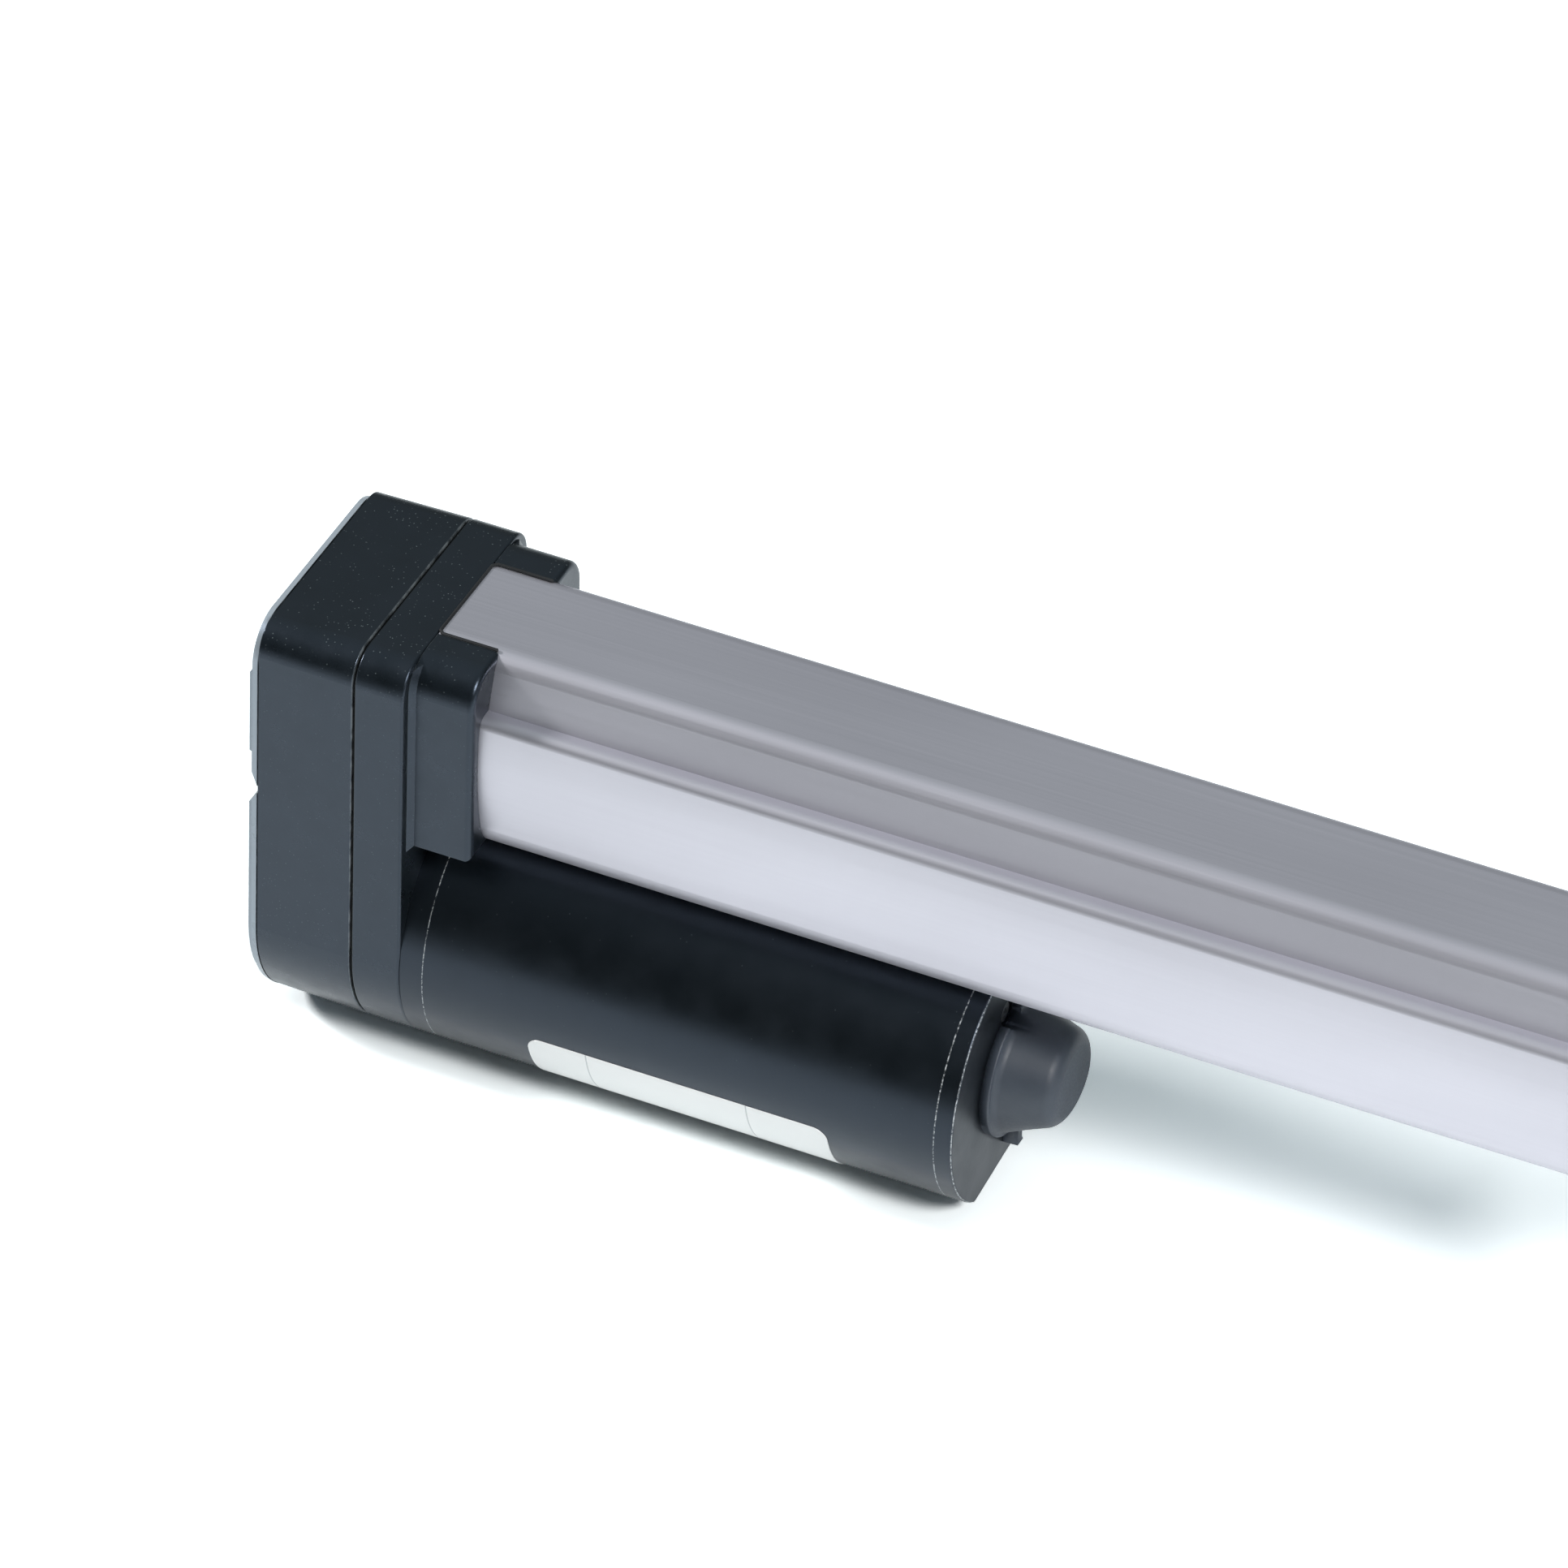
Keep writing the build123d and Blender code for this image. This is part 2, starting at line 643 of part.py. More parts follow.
def make_outer_tube():
    tube = extrude(across(flange_x) * tube_outline(), amount=tube_length)
    tube -= rod_along_x(flange_x - past, tube_end + past, tube_bore / 2)
    height = channel_top - channel_bottom
    channel = Pos(0, channel_bottom + height / 2) * Rectangle(channel_width, height)
    slot = Pos(0, channel_bottom / 2) * Rectangle(key_slot_width, channel_bottom)
    tube -= extrude(across(flange_x) * (channel + slot), amount=tube_length)
    for y, z in tube_screws_at:
        for x in (flange_x, tube_end - tube_screw_depth):
            tube -= rod_along_x(x, x + tube_screw_depth, case_screw_diameter / 2, y, z)
    return tube


def make_front_end_cap():
    cap = extrude(across(tube_end) * tube_outline(end_cap_overhang), amount=end_cap_thickness)
    cap = fillet(edges_at_x(cap, end_cap_end), end_cap_round)
    cap -= rod_along_x(tube_end - past, end_cap_end + past, rod_diameter / 2 + pocket_clearance)
    cap -= rod_along_x(wiper_start, end_cap_end + past, wiper_diameter / 2)
    for y, z in tube_screws_at:
        cap -= rod_along_x(tube_end - past, end_cap_end, case_screw_diameter / 2, y, z)
        cap -= rod_along_x(end_cap_end - tip_gap - screw_head_height, end_cap_end + past,
                           case_screw_head / 2 + head_clearance, y, z)
    return cap


def make_guide_bush():
    return pipe_along_x(guide_start, tube_end, tube_bore / 2, rod_diameter / 2 + shaft_clearance)


def make_wiper():
    wiper_end = wiper_start + wiper_thickness
    inner = rod_diameter / 2 + shaft_clearance
    body = pipe_along_x(wiper_start, wiper_end, wiper_diameter / 2, inner)
    return body + pipe_along_x(wiper_end, end_cap_end + wiper_standout, inner + wiper_lip, inner)


def make_drive_nut():
    nut = rod_along_x(nut_start, nut_end, tube_bore / 2 - slide_clearance)
    nut = chamfer(edges_at_x(nut, nut_start) + edges_at_x(nut, nut_end), nut_chamfer)
    key_top = channel_bottom + key_rise
    key = Pos(0, key_top / 2) * Rectangle(key_slot_width - 2 * slide_clearance, key_top)
    nut += extrude(across(nut_start + nut_key_inset) * key, amount=nut_length - 2 * nut_key_inset)
    nut -= rod_along_x(nut_start - past, nut_end + past, spindle_diameter / 2 + shaft_clearance)
    return nut - rod_along_x(rod_start, nut_end + past, rod_diameter / 2)


def cross_pin(length):
    return Pos(rod_end - eye_spigot / 2, 0, 0) * Cylinder(cross_pin_diameter / 2, length)


def make_push_rod():
    rod = pipe_along_x(rod_start, rod_end, rod_diameter / 2, rod_bore / 2)
    return rod - cross_pin(rod_diameter + past)


def make_rod_eye():
    spigot = rod_along_x(rod_end - eye_spigot, rod_end, rod_bore / 2)
    neck = rod_along_x(rod_end, rod_end + eye_neck, rod_diameter / 2)
    neck = chamfer(edges_at_x(neck, rod_end + eye_neck), eye_chamfer)
    eye = Pos(eye_x, 0, 0) * Rot(90, 0, 0) * Cylinder(eye_outer_diameter / 2, eye_width)
    eye = chamfer(eye.edges(), eye_chamfer)
    shank = Pos((rod_end + eye_x) / 2, 0, 0) * Box(eye_reach, eye_width, eye_shank_height)
    body = spigot + neck + eye + shank
    body -= Pos(eye_x, 0, 0) * Rot(90, 0, 0) * Cylinder(eye_bore / 2, eye_width + past)
    return body - cross_pin(rod_diameter)


def make_switch_board():
    board = Box(guide_start - nut_start, channel_width - 2 * pocket_clearance, switch_board_thickness,
                align=(Align.MIN, Align.CENTER, Align.MAX))
    return Pos(nut_start, 0, channel_top) * board


def make_limit_switches():
    """One switch at each end of the stroke, beside the path of the nut's key."""
    low = channel_bottom + hole_clearance
    height = channel_top - switch_board_thickness - low
    body = Box(switch_length, switch_width, height, align=(Align.CENTER, Align.MIN, Align.MIN))
    places = (nut_start + nut_length / 2, nut_start + nut_length / 2 + stroke)
    return [Pos(x, key_slot_width / 2 + head_clearance, low) * body for x in places]


# Motor

def make_motor_front_ring():
    ring = rod_along_x(flange_x, ring_end, motor_radius, *motor_at)
    ring += rod_along_x(flange_x - motor_pilot_length, flange_x, motor_pilot_diameter / 2, *motor_at)
    front = motor_bearing_places()[0]
    ring -= rod_along_x(front, ring_end + past, motor_bearing_diameter / 2, *motor_at)
    ring -= rod_along_x(flange_x - motor_pilot_length - past, ring_end,
                        motor_shaft_diameter / 2 + pocket_clearance, *motor_at)
    for y, z in motor_screws_at:
        ring -= rod_along_x(flange_x - past, ring_end + past, case_screw_diameter / 2, y, z)
    return ring


def make_motor_tube():
    can = extrude(across(ring_end) * can_outline(motor_radius, motor_flat_drop), amount=motor_can_length)
    room = can_outline(motor_radius - motor_can_wall, motor_flat_drop - motor_can_wall)
    return can - extrude(across(ring_end) * room, amount=motor_can_length)


def make_motor_end_cap():
    plate = extrude(across(can_end) * can_outline(motor_radius, motor_flat_drop), amount=cap_thickness)
    plate = fillet(edges_at_x(plate, cap_end), cap_edge)
    inner = can_outline(motor_radius - motor_can_wall, motor_flat_drop - motor_can_wall)
    spigot = extrude(across(can_end - cap_spigot) * inner, amount=cap_spigot)
    rear = motor_bearing_places()[1]
    boss = rod_along_x(rear, can_end, motor_bearing_diameter / 2 + cap_boss_wall, *motor_at)
    cap = plate + spigot + boss
    cap -= rod_along_x(rear - past, rear + motor_bearing_width, motor_bearing_diameter / 2, *motor_at)
    for y, z in cap_screws_at:
        cap -= rod_along_x(can_end - cap_spigot - past, cap_end + past,
                           cap_screw_diameter / 2 + hole_clearance, y, z)
        cap -= rod_along_x(cap_end - cap_screw_seat, cap_end + past,
                           cap_screw_head / 2 + pocket_clearance, y, z)
    return cap


def make_magnets():
    outer = motor_radius - motor_can_wall
    start = ring_end + magnet_start
    arc = pipe_along_x(start, start + magnet_length, outer, outer - magnet_thickness, *motor_at)
    band = motor_place() * Rectangle(2 * motor_radius, magnet_height)
    return arc & extrude(across(start) * band, amount=magnet_length)


def make_armature():
    radius = motor_flat_drop - motor_can_wall - armature_gap
    start = ring_end + armature_start
    end = ring_end + armature_end
    stack = rod_along_x(start, end, radius, *motor_at)
    for slot in range(armature_slots):
        y, z = polar(radius - armature_slot_depth, slot * 360 / armature_slots)
        stack -= rod_along_x(start, end, armature_slot_radius, y, motor_z + z)
    return stack - rod_along_x(start, end, motor_shaft_diameter / 2, *motor_at)


def make_windings():
    start = ring_end + armature_start
    end = ring_end + armature_end
    coils = []
    for x0, x1, outer_end in ((start - coil_front_reach, start, start - coil_front_reach),
                              (end, end + coil_rear_reach, end + coil_rear_reach)):
        coil = rod_along_x(x0, x1, coil_radius, *motor_at)
        coil = fillet(edges_at_x(coil, outer_end), coil_round)
        coils.append(coil - rod_along_x(x0, x1, motor_shaft_diameter / 2, *motor_at))
    return coils


def make_commutator():
    start = ring_end + commutator_start
    return pipe_along_x(start, start + commutator_length, commutator_radius,
                        motor_shaft_diameter / 2, *motor_at)


def brush_bar(way, start, depth, inner, outer, width):
    """A block that points at the motor axis, between two distances from it."""
    bar = Pos((inner + outer) / 2, 0) * Rectangle(outer - inner, width)
    return extrude(across(ring_end + start) * motor_place() * Rot(0, 0, way) * bar, amount=depth)


def make_brush_holder():
    start = ring_end + brush_plate_start
    disc = can_outline(motor_radius - motor_can_wall, motor_flat_drop - motor_can_wall)
    plate = extrude(across(start) * disc, amount=brush_plate_thickness)
    plate -= rod_along_x(start, start + brush_plate_thickness, brush_plate_hole, *motor_at)
    box_end = brush_box_radius + brush_box_length
    for way in (0, 180):
        plate += brush_bar(way, brush_box_start, brush_box_length,
                           brush_box_radius, box_end, brush_box_width)
        plate -= brush_bar(way, brush_start, brush_depth,
                           brush_box_radius - past, box_end + past, brush_size)
    for y, z in cap_screws_at:
        plate += rod_along_x(start, can_end - cap_spigot, brush_post_radius, y, z)
        plate -= rod_along_x(start, can_end - cap_spigot, cap_screw_diameter / 2, y, z)
    return plate


def make_brushes():
    start = ring_end + brush_start
    hole = rod_along_x(start, start + brush_depth, commutator_radius + slide_clearance, *motor_at)
    return [brush_bar(way, brush_start, brush_depth, commutator_radius, brush_reach, brush_size) - hole
            for way in (0, 180)]


def make_motor_shaft():
    return rod_along_x(pinion_start, can_end - cap_spigot, motor_shaft_diameter / 2, *motor_at)


def make_terminal_cover():
    """Base and dome on one axis, with a small tab below and room for the cap screws."""
    y, z = 0.0, motor_z + cover_lift
    foot = cap_end + cover_base_height
    base = rod_along_x(cap_end, foot, cover_base_radius, y, z)
    base = fillet(edges_at_x(base, foot), cover_edge)
    wide = across(foot) * Pos(y, z) * Circle(cover_foot_radius)
    narrow = across(cap_end + cover_height) * Pos(y, z) * Circle(cover_end_radius)
    dome = loft([wide, narrow])
    dome = fillet(edges_at_x(dome, cap_end + cover_height), cover_round)
    tab_height = cover_base_radius + cover_tab_reach
    tab = Box(cover_tab_length, cover_tab_width, tab_height, align=(Align.MIN, Align.CENTER, Align.MAX))
    cover = base + dome + Pos(cap_end, y, z) * tab
    for y, z in cap_screws_at:
        cover -= rod_along_x(cap_end, cap_end + cover_height, screw_access, y, z)
    return cover


def make_label():
    """A rounded sheet seen square on at its middle, cut out of a thin shell round the can."""
    start = ring_end + label_start
    sheet = pipe_along_x(start, start + label_length,
                         motor_radius + label_thickness, motor_radius, *motor_at)
    middle = math.radians((label_top_angle + label_bottom_angle) / 2)
    spread = math.radians((label_bottom_angle - label_top_angle) / 2)
    height = 2 * motor_radius * math.sin(spread)
    centre = (start + label_length / 2, 0, motor_z)
    outward = (0, -math.cos(middle), -math.sin(middle))
    face = Plane(origin=centre, x_dir=(1, 0, 0), z_dir=outward)
    outline = RectangleRounded(label_length, height, label_corner)
    return sheet & extrude(face * outline, amount=2 * motor_radius)


def main():
    save("rear_cover", make_rear_cover())
    save("housing_gasket", make_gasket())
    save("front_housing", make_front_housing())
    save("cover_screws", *[case_screw(y, z, rear_face + tip_gap, front_wall_x - tip_gap)
                           for y, z in case_screws_at])
    save("outer_tube", make_outer_tube())
    save("tube_screws", *[case_screw(y, z, front_wall_x - screw_head_height, flange_x + screw_grip)
                          for y, z in tube_screws_at])
    save("front_end_cap", make_front_end_cap())
    save("end_cap_screws", *[case_screw(y, z, end_cap_end - tip_gap, tube_end - screw_grip)
                             for y, z in tube_screws_at])
    save("guide_bush", make_guide_bush())
    save("wiper_seal", make_wiper())
    save("switch_board", make_switch_board())
    save("limit_switches", *make_limit_switches())
    outer_ring, inner_race = make_spindle_bearing()
    save("spindle_bearing_ring", outer_ring)
    save("spindle_bearing_race", inner_race)
    save("spindle_tail_bush", make_tail_bush())
    save("lead_screw", make_lead_screw())
    save("spindle_gear", make_spindle_gear())
    save("idler_axle", make_idler_axle())
    save("idler_gear", make_idler_gear())
    save("motor_pinion", make_pinion())
    save("motor_shaft", make_motor_shaft())
    save("armature", make_armature())
    save("armature_windings", *make_windings())
    save("commutator", make_commutator())
    rings, races = make_motor_bearings()
    save("motor_bearing_rings", *rings)
    save("motor_bearing_races", *races)
    save("motor_front_ring", make_motor_front_ring())
    save("motor_mount_screws", *[case_screw(y, z, front_wall_x - screw_head_height, ring_end - tip_gap)
                                 for y, z in motor_screws_at])
    save("motor_tube", make_motor_tube())
    save("motor_magnets", make_magnets())
    save("brush_holder", make_brush_holder())
    save("brushes", *make_brushes())
    save("motor_end_cap", make_motor_end_cap())
    save("motor_cap_screws", *[cap_screw(y, z) for y, z in cap_screws_at])
    save("terminal_cover", make_terminal_cover())
    save("rating_label", make_label())
    save("drive_nut", make_drive_nut())
    save("push_rod", make_push_rod())
    save("rod_eye", make_rod_eye())
    save("eye_cross_pin", cross_pin(rod_diameter - 2 * cross_pin_short))


main()
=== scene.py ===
import bmesh
import bpy
import math
from mathutils import Matrix, Vector


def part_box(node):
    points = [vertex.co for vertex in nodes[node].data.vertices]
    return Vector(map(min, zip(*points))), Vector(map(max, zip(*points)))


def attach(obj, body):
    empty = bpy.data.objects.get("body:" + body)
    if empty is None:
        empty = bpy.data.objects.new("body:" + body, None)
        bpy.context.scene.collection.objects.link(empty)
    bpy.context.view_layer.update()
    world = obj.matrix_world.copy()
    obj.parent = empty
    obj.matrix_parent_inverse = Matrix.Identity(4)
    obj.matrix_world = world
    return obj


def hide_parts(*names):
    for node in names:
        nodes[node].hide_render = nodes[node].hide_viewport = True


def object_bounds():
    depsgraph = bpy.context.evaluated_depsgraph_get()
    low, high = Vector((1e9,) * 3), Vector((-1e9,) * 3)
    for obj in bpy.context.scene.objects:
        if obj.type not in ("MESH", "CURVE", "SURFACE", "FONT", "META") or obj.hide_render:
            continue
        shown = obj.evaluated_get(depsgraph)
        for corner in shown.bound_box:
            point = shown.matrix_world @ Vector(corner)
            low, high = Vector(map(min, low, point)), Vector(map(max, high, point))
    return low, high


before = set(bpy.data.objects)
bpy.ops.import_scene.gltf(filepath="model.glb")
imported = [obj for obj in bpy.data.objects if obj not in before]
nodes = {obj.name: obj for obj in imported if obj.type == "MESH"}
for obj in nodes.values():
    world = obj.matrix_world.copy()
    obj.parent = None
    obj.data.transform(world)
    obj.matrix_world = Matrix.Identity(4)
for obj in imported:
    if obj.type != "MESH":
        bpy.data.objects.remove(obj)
cadLow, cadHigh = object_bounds()
scene = bpy.context.scene
scene.view_settings.view_transform = "Standard"
mm = 0.001
mergeDistance = 0.001 * mm      # closes the loose triangles of a CAD node's copy
spread = (0.3, 0.7)             # where most values of a noise pattern lie
print("frame loaded:", len(nodes), "nodes")

# Places that everything else is set from, read from the frame
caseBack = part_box("rear_cover")[0].x
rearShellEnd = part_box("rear_cover")[1].x
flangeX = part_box("outer_tube")[0].x
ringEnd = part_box("motor_tube")[0].x
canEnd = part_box("motor_tube")[1].x
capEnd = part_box("motor_end_cap")[1].x
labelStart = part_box("rating_label")[0].x
shaftLow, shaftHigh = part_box("motor_shaft")
motorZ = (shaftLow.z + shaftHigh.z) / 2
ringLow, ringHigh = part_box("motor_front_ring")
motorRadius = (ringHigh.y - ringLow.y) / 2
floorZ = cadLow.z


# Camera

cameraSetup = {
    "azimuth": 23.55,           # degrees, as the photograph sees it
    "elevation": 38.20,
    "roll": 2.02,
    "distance": 3.1708,         # metres from the point it is aimed from
    "lens": 330.87,
    "sensor": 36.0,
    "farClip": 50.0,
    "aim": (26.0, 0.0, 26.8),   # a corner of the case, mm
    "sideways": 80.82,          # how far the photograph's middle lies beside it, mm
    "upwards": -44.30,
}


def cameraAxes(azimuth, elevation, roll):
    az, el, turn = (math.radians(v) for v in (azimuth, elevation, roll))
    back = Vector((math.sin(az) * math.cos(el), -math.cos(az) * math.cos(el), math.sin(el)))
    right = Vector((math.cos(az), math.sin(az), 0))
    up = back.cross(right)
    return (right * math.cos(turn) + up * math.sin(turn),
            up * math.cos(turn) - right * math.sin(turn), back)


def makeCamera(setup):
    right, up, back = cameraAxes(setup["azimuth"], setup["elevation"], setup["roll"])
    data = bpy.data.cameras.new("camera")
    data.lens = setup["lens"]
    data.sensor_width = setup["sensor"]
    data.clip_end = setup["farClip"]
    camera = bpy.data.objects.new("camera", data)
    place = Vector(setup["aim"]) * mm + (right * setup["sideways"] + up * setup["upwards"]) * mm
    place += back * setup["distance"]
    camera.matrix_world = Matrix((right, up, back)).transposed().to_4x4()
    camera.matrix_world.translation = place
    scene.collection.objects.link(camera)
    scene.camera = camera


makeCamera(cameraSetup)
print("camera made")


# Materials

def hexColour(text):
    parts = [int(text[i:i + 2], 16) / 255 for i in (1, 3, 5)]
    linear = [p / 12.92 if p <= 0.04045 else ((p + 0.055) / 1.055) ** 2.4 for p in parts]
    return (*linear, 1.0)


def setInputs(tree, node, inputs):
    # an input goes by its name or its number; a node given as a value stands for its first output
    shown = [socket for socket in node.inputs if socket.enabled]
    for name, value in inputs.items():
        socket = shown[name] if isinstance(name, int) else next(s for s in shown if s.name == name)
        for source in value if isinstance(value, list) else [value]:
            if isinstance(source, bpy.types.Node):
                source = next(output for output in source.outputs if output.enabled)
            if isinstance(source, bpy.types.NodeSocket):
                tree.links.new(source, socket)
            else:
                socket.default_value = source


def addNode(tree, kind, inputs=None, **settings):
    node = tree.nodes.new(kind)
    for name, value in settings.items():
        setattr(node, name, value)
    setInputs(tree, node, inputs or {})
    return node


def between(low, high, least=0.0, most=1.0):
    # the limits of a Map Range: least at low, most at high
    return {"From Min": low, "From Max": high, "To Min": least, "To Max": most}


def newMaterial(name):
    material = bpy.data.materials.new(name)
    material.use_nodes = True
    tree = material.node_tree
    return material, tree, tree.nodes["Principled BSDF"]


def onObject(tree, stretch=(1, 1, 1)):
    place = addNode(tree, "ShaderNodeTexCoord").outputs["Object"]
    return addNode(tree, "ShaderNodeMapping", {"Vector": place, "Scale": stretch})


def grain(tree, size, detail=2.0, stretch=(1, 1, 1), roughness=0.5):
    # an even, cloudy pattern whose patches are about size mm across
    return addNode(tree, "ShaderNodeTexNoise", {
        "Vector": onObject(tree, stretch),
        "Scale": 1.0 / (size * mm),
        "Detail": detail,
        "Roughness": roughness,
    })


def patches(tree, size, limits, detail=3.0):
    # the same with its values drawn out between two limits
    return addNode(tree, "ShaderNodeMapRange", {"Value": grain(tree, size, detail), **limits})


def specks(tree, spacing, radius, keep):
    # dust: a dot near some of the cells of a pattern of spacing mm; radius is a share of the spacing
    cells = addNode(tree, "ShaderNodeTexVoronoi", {"Vector": onObject(tree), "Scale": 1.0 / (spacing * mm)})
    dot = addNode(tree, "ShaderNodeMapRange", {"Value": cells, **between(radius * 0.6, radius, 1.0, 0.0)})
    pick = addNode(tree, "ShaderNodeSeparateColor", {"Color": cells.outputs["Color"]})
    chosen = addNode(tree, "ShaderNodeMapRange", {"Value": pick, **between(1.0 - keep, 1.01 - keep)})
    return addNode(tree, "ShaderNodeMath", {0: dot, 1: chosen}, operation="MULTIPLY")


def upward(tree):
    # dust lies on what faces up, and a little of it elsewhere
    normal = addNode(tree, "ShaderNodeNewGeometry").outputs["Normal"]
    facing = addNode(tree, "ShaderNodeSeparateXYZ", {"Vector": normal}).outputs["Z"]
    return addNode(tree, "ShaderNodeMapRange", {"Value": facing, **between(-0.2, 0.7, 0.12, 1.0)})


def dustOn(tree, specked, share):
    lying = addNode(tree, "ShaderNodeMath", {0: specked, 1: upward(tree)}, operation="MULTIPLY")
    return addNode(tree, "ShaderNodeMath", {0: lying, 1: share}, operation="MULTIPLY")


def edges(tree, radius, threshold):
    # the rounded normal against the true one shows where the edges are
    soft = addNode(tree, "ShaderNodeBevel", {"Radius": radius * mm}, samples=6)
    true = addNode(tree, "ShaderNodeNewGeometry").outputs["Normal"]
    match = addNode(tree, "ShaderNodeVectorMath", {0: soft, 1: true}, operation="DOT_PRODUCT")
    return addNode(tree, "ShaderNodeMapRange", {
        "Value": match, **between(1.0 - threshold, 1.0 - threshold * 3)})


def lineAt(tree, coordinate, place, inner, outer):
    # a line across the piece: full within inner mm of its middle, gone past outer mm
    offset = addNode(tree, "ShaderNodeMath", {0: coordinate, 1: place}, operation="SUBTRACT")
    away = addNode(tree, "ShaderNodeMath", {0: offset}, operation="ABSOLUTE")
    return addNode(tree, "ShaderNodeMapRange", {"Value": away, **between(inner * mm, outer * mm, 1.0, 0.0)})


def anyOf(tree, shapes):
    both = shapes[0]
    for shape in shapes[1:]:
        both = addNode(tree, "ShaderNodeMath", {0: both, 1: shape}, operation="MAXIMUM")
    return both


# Powder coat on die-cast aluminium: satin, slightly pebbled, with dust on what faces up and a painted
# highlight along the parting line
caseCoat = {
    "colour": "#0B1012",
    "second": "#11161A",
    "worn": "#8E9598",
    "dust": "#8C9799",
    "tonePatch": 14.0,          # mm, as all sizes here
    "roughness": (0.26, 0.36),  # least and most
    "roughPatch": 5.0,
    "gloss": 0.80,              # specular level of the coat, a little over the default
    "sheen": "#CBDDF8",         # the coat's reflections are cool
    "pads": "#A2ABB3",          # the sides of the rear pads are left thinly coated
    "padDepth": 2.4,
    "padBlur": 0.1,
    "padFacing": (0.5, 0.8),    # how far a surface may turn towards X before it is a face, not a side
    "seamOffset": 0.15,         # from the rear half's end to the middle of the parting line
    "seamGlintWidth": (0.30, 0.48),  # painted highlight, the glint of the parting line's rounded edges, on each side of it: all of it, and where it ends
    "seamGlintPatch": 3.0,
    "pebble": 0.55,             # the coat's own orange skin
    "pebbleHeight": 0.010,
    "wearRadius": 0.35,
    "wearAngle": 0.05,          # how sharply an edge turns before its coat wears
    "wearPatch": 2.5,
    "wearShare": 0.30,
    "dustSpacing": 1.1,
    "dustSize": 0.16,
    "dustKept": 0.8,
    "dustPatch": 9.0,           # the dust has gathered in places
    "dustShare": 0.42,
}


def makeCaseCoat(name, look):
    material, tree, shader = newMaterial(name)
    shade = addNode(tree, "ShaderNodeMix", {
        0: patches(tree, look["tonePatch"], between(*spread)),
        1: hexColour(look["colour"]), 2: hexColour(look["second"])}, data_type="RGBA")
    gathered = patches(tree, look["dustPatch"], between(0.42, 0.60, 0.2, 1.0))
    fine = specks(tree, look["dustSpacing"], look["dustSize"], look["dustKept"])
    specked = addNode(tree, "ShaderNodeMath", {0: fine, 1: gathered}, operation="MULTIPLY")
    shade = addNode(tree, "ShaderNodeMix", {
        0: dustOn(tree, specked, look["dustShare"]), 1: shade, 2: hexColour(look["dust"])}, data_type="RGBA")
    worn = patches(tree, look["wearPatch"], between(0.40, 0.66, 0.0, look["wearShare"]), 4.0)
    wear = addNode(tree, "ShaderNodeMath", {
        0: edges(tree, look["wearRadius"], look["wearAngle"]), 1: worn}, operation="MULTIPLY")
    shade = addNode(tree, "ShaderNodeMix", {
        0: wear, 1: shade, 2: hexColour(look["worn"])}, data_type="RGBA")
    axes = addNode(tree, "ShaderNodeSeparateXYZ", {"Vector": onObject(tree)})
    padEnd = caseBack + look["padDepth"] * mm
    onPads = addNode(tree, "ShaderNodeMapRange", {
        "Value": axes, **between(padEnd - look["padBlur"] * mm, padEnd, 1.0, 0.0)})
    normal = addNode(tree, "ShaderNodeSeparateXYZ", {
        "Vector": addNode(tree, "ShaderNodeNewGeometry").outputs["Normal"]})
    facing = addNode(tree, "ShaderNodeMath", {0: normal}, operation="ABSOLUTE")
    onSides = addNode(tree, "ShaderNodeMapRange", {"Value": facing, **between(*look["padFacing"], 1.0, 0.0)})
    padSides = addNode(tree, "ShaderNodeMath", {0: onPads, 1: onSides}, operation="MULTIPLY")
    shade = addNode(tree, "ShaderNodeMix", {
        0: padSides, 1: shade, 2: hexColour(look["pads"])}, data_type="RGBA")
    # painted highlight: a light line in the worn colour along the parting line, broken in patches, stands for
    # the glint of its rounded edges
    seamGlint = lineAt(tree, axes, rearShellEnd + look["seamOffset"] * mm, *look["seamGlintWidth"])
    glintBreaks = patches(tree, look["seamGlintPatch"], between(0.35, 0.62, 0.1, 0.5), 4.0)
    seamGlint = addNode(tree, "ShaderNodeMath", {0: seamGlint, 1: glintBreaks}, operation="MULTIPLY")
    shade = addNode(tree, "ShaderNodeMix", {
        0: seamGlint, 1: shade, 2: hexColour(look["worn"])}, data_type="RGBA")
    setInputs(tree, shader, {
        "Base Color": shade,
        "Roughness": patches(tree, look["roughPatch"], between(*spread, *look["roughness"]), 4.0),
        "Specular IOR Level": look["gloss"],
        "Specular Tint": hexColour(look["sheen"]),
        "Normal": addNode(tree, "ShaderNodeBump", {
            "Height": grain(tree, look["pebble"]), "Distance": look["pebbleHeight"] * mm}),
    })
    return material


# Matt anodised extrusion: broad soft reflections, and faint die lines that run the whole length
tubeFinish = {
    "colour": "#D2D0D9",
    "shadow": "#CAC8D1",
    "metal": 0.82,              # the oxide scatters a little light
    "roughness": (0.42, 0.49),  # least and most
    "clouds": 30.0,             # mm
    "dieLine": 0.5,             # mm across, coarser than the real ones so that they show
    "stretch": 0.004,           # the die lines' width as a share of their length
    "grain": 0.25,              # mm
    "depth": 0.003,             # mm
}


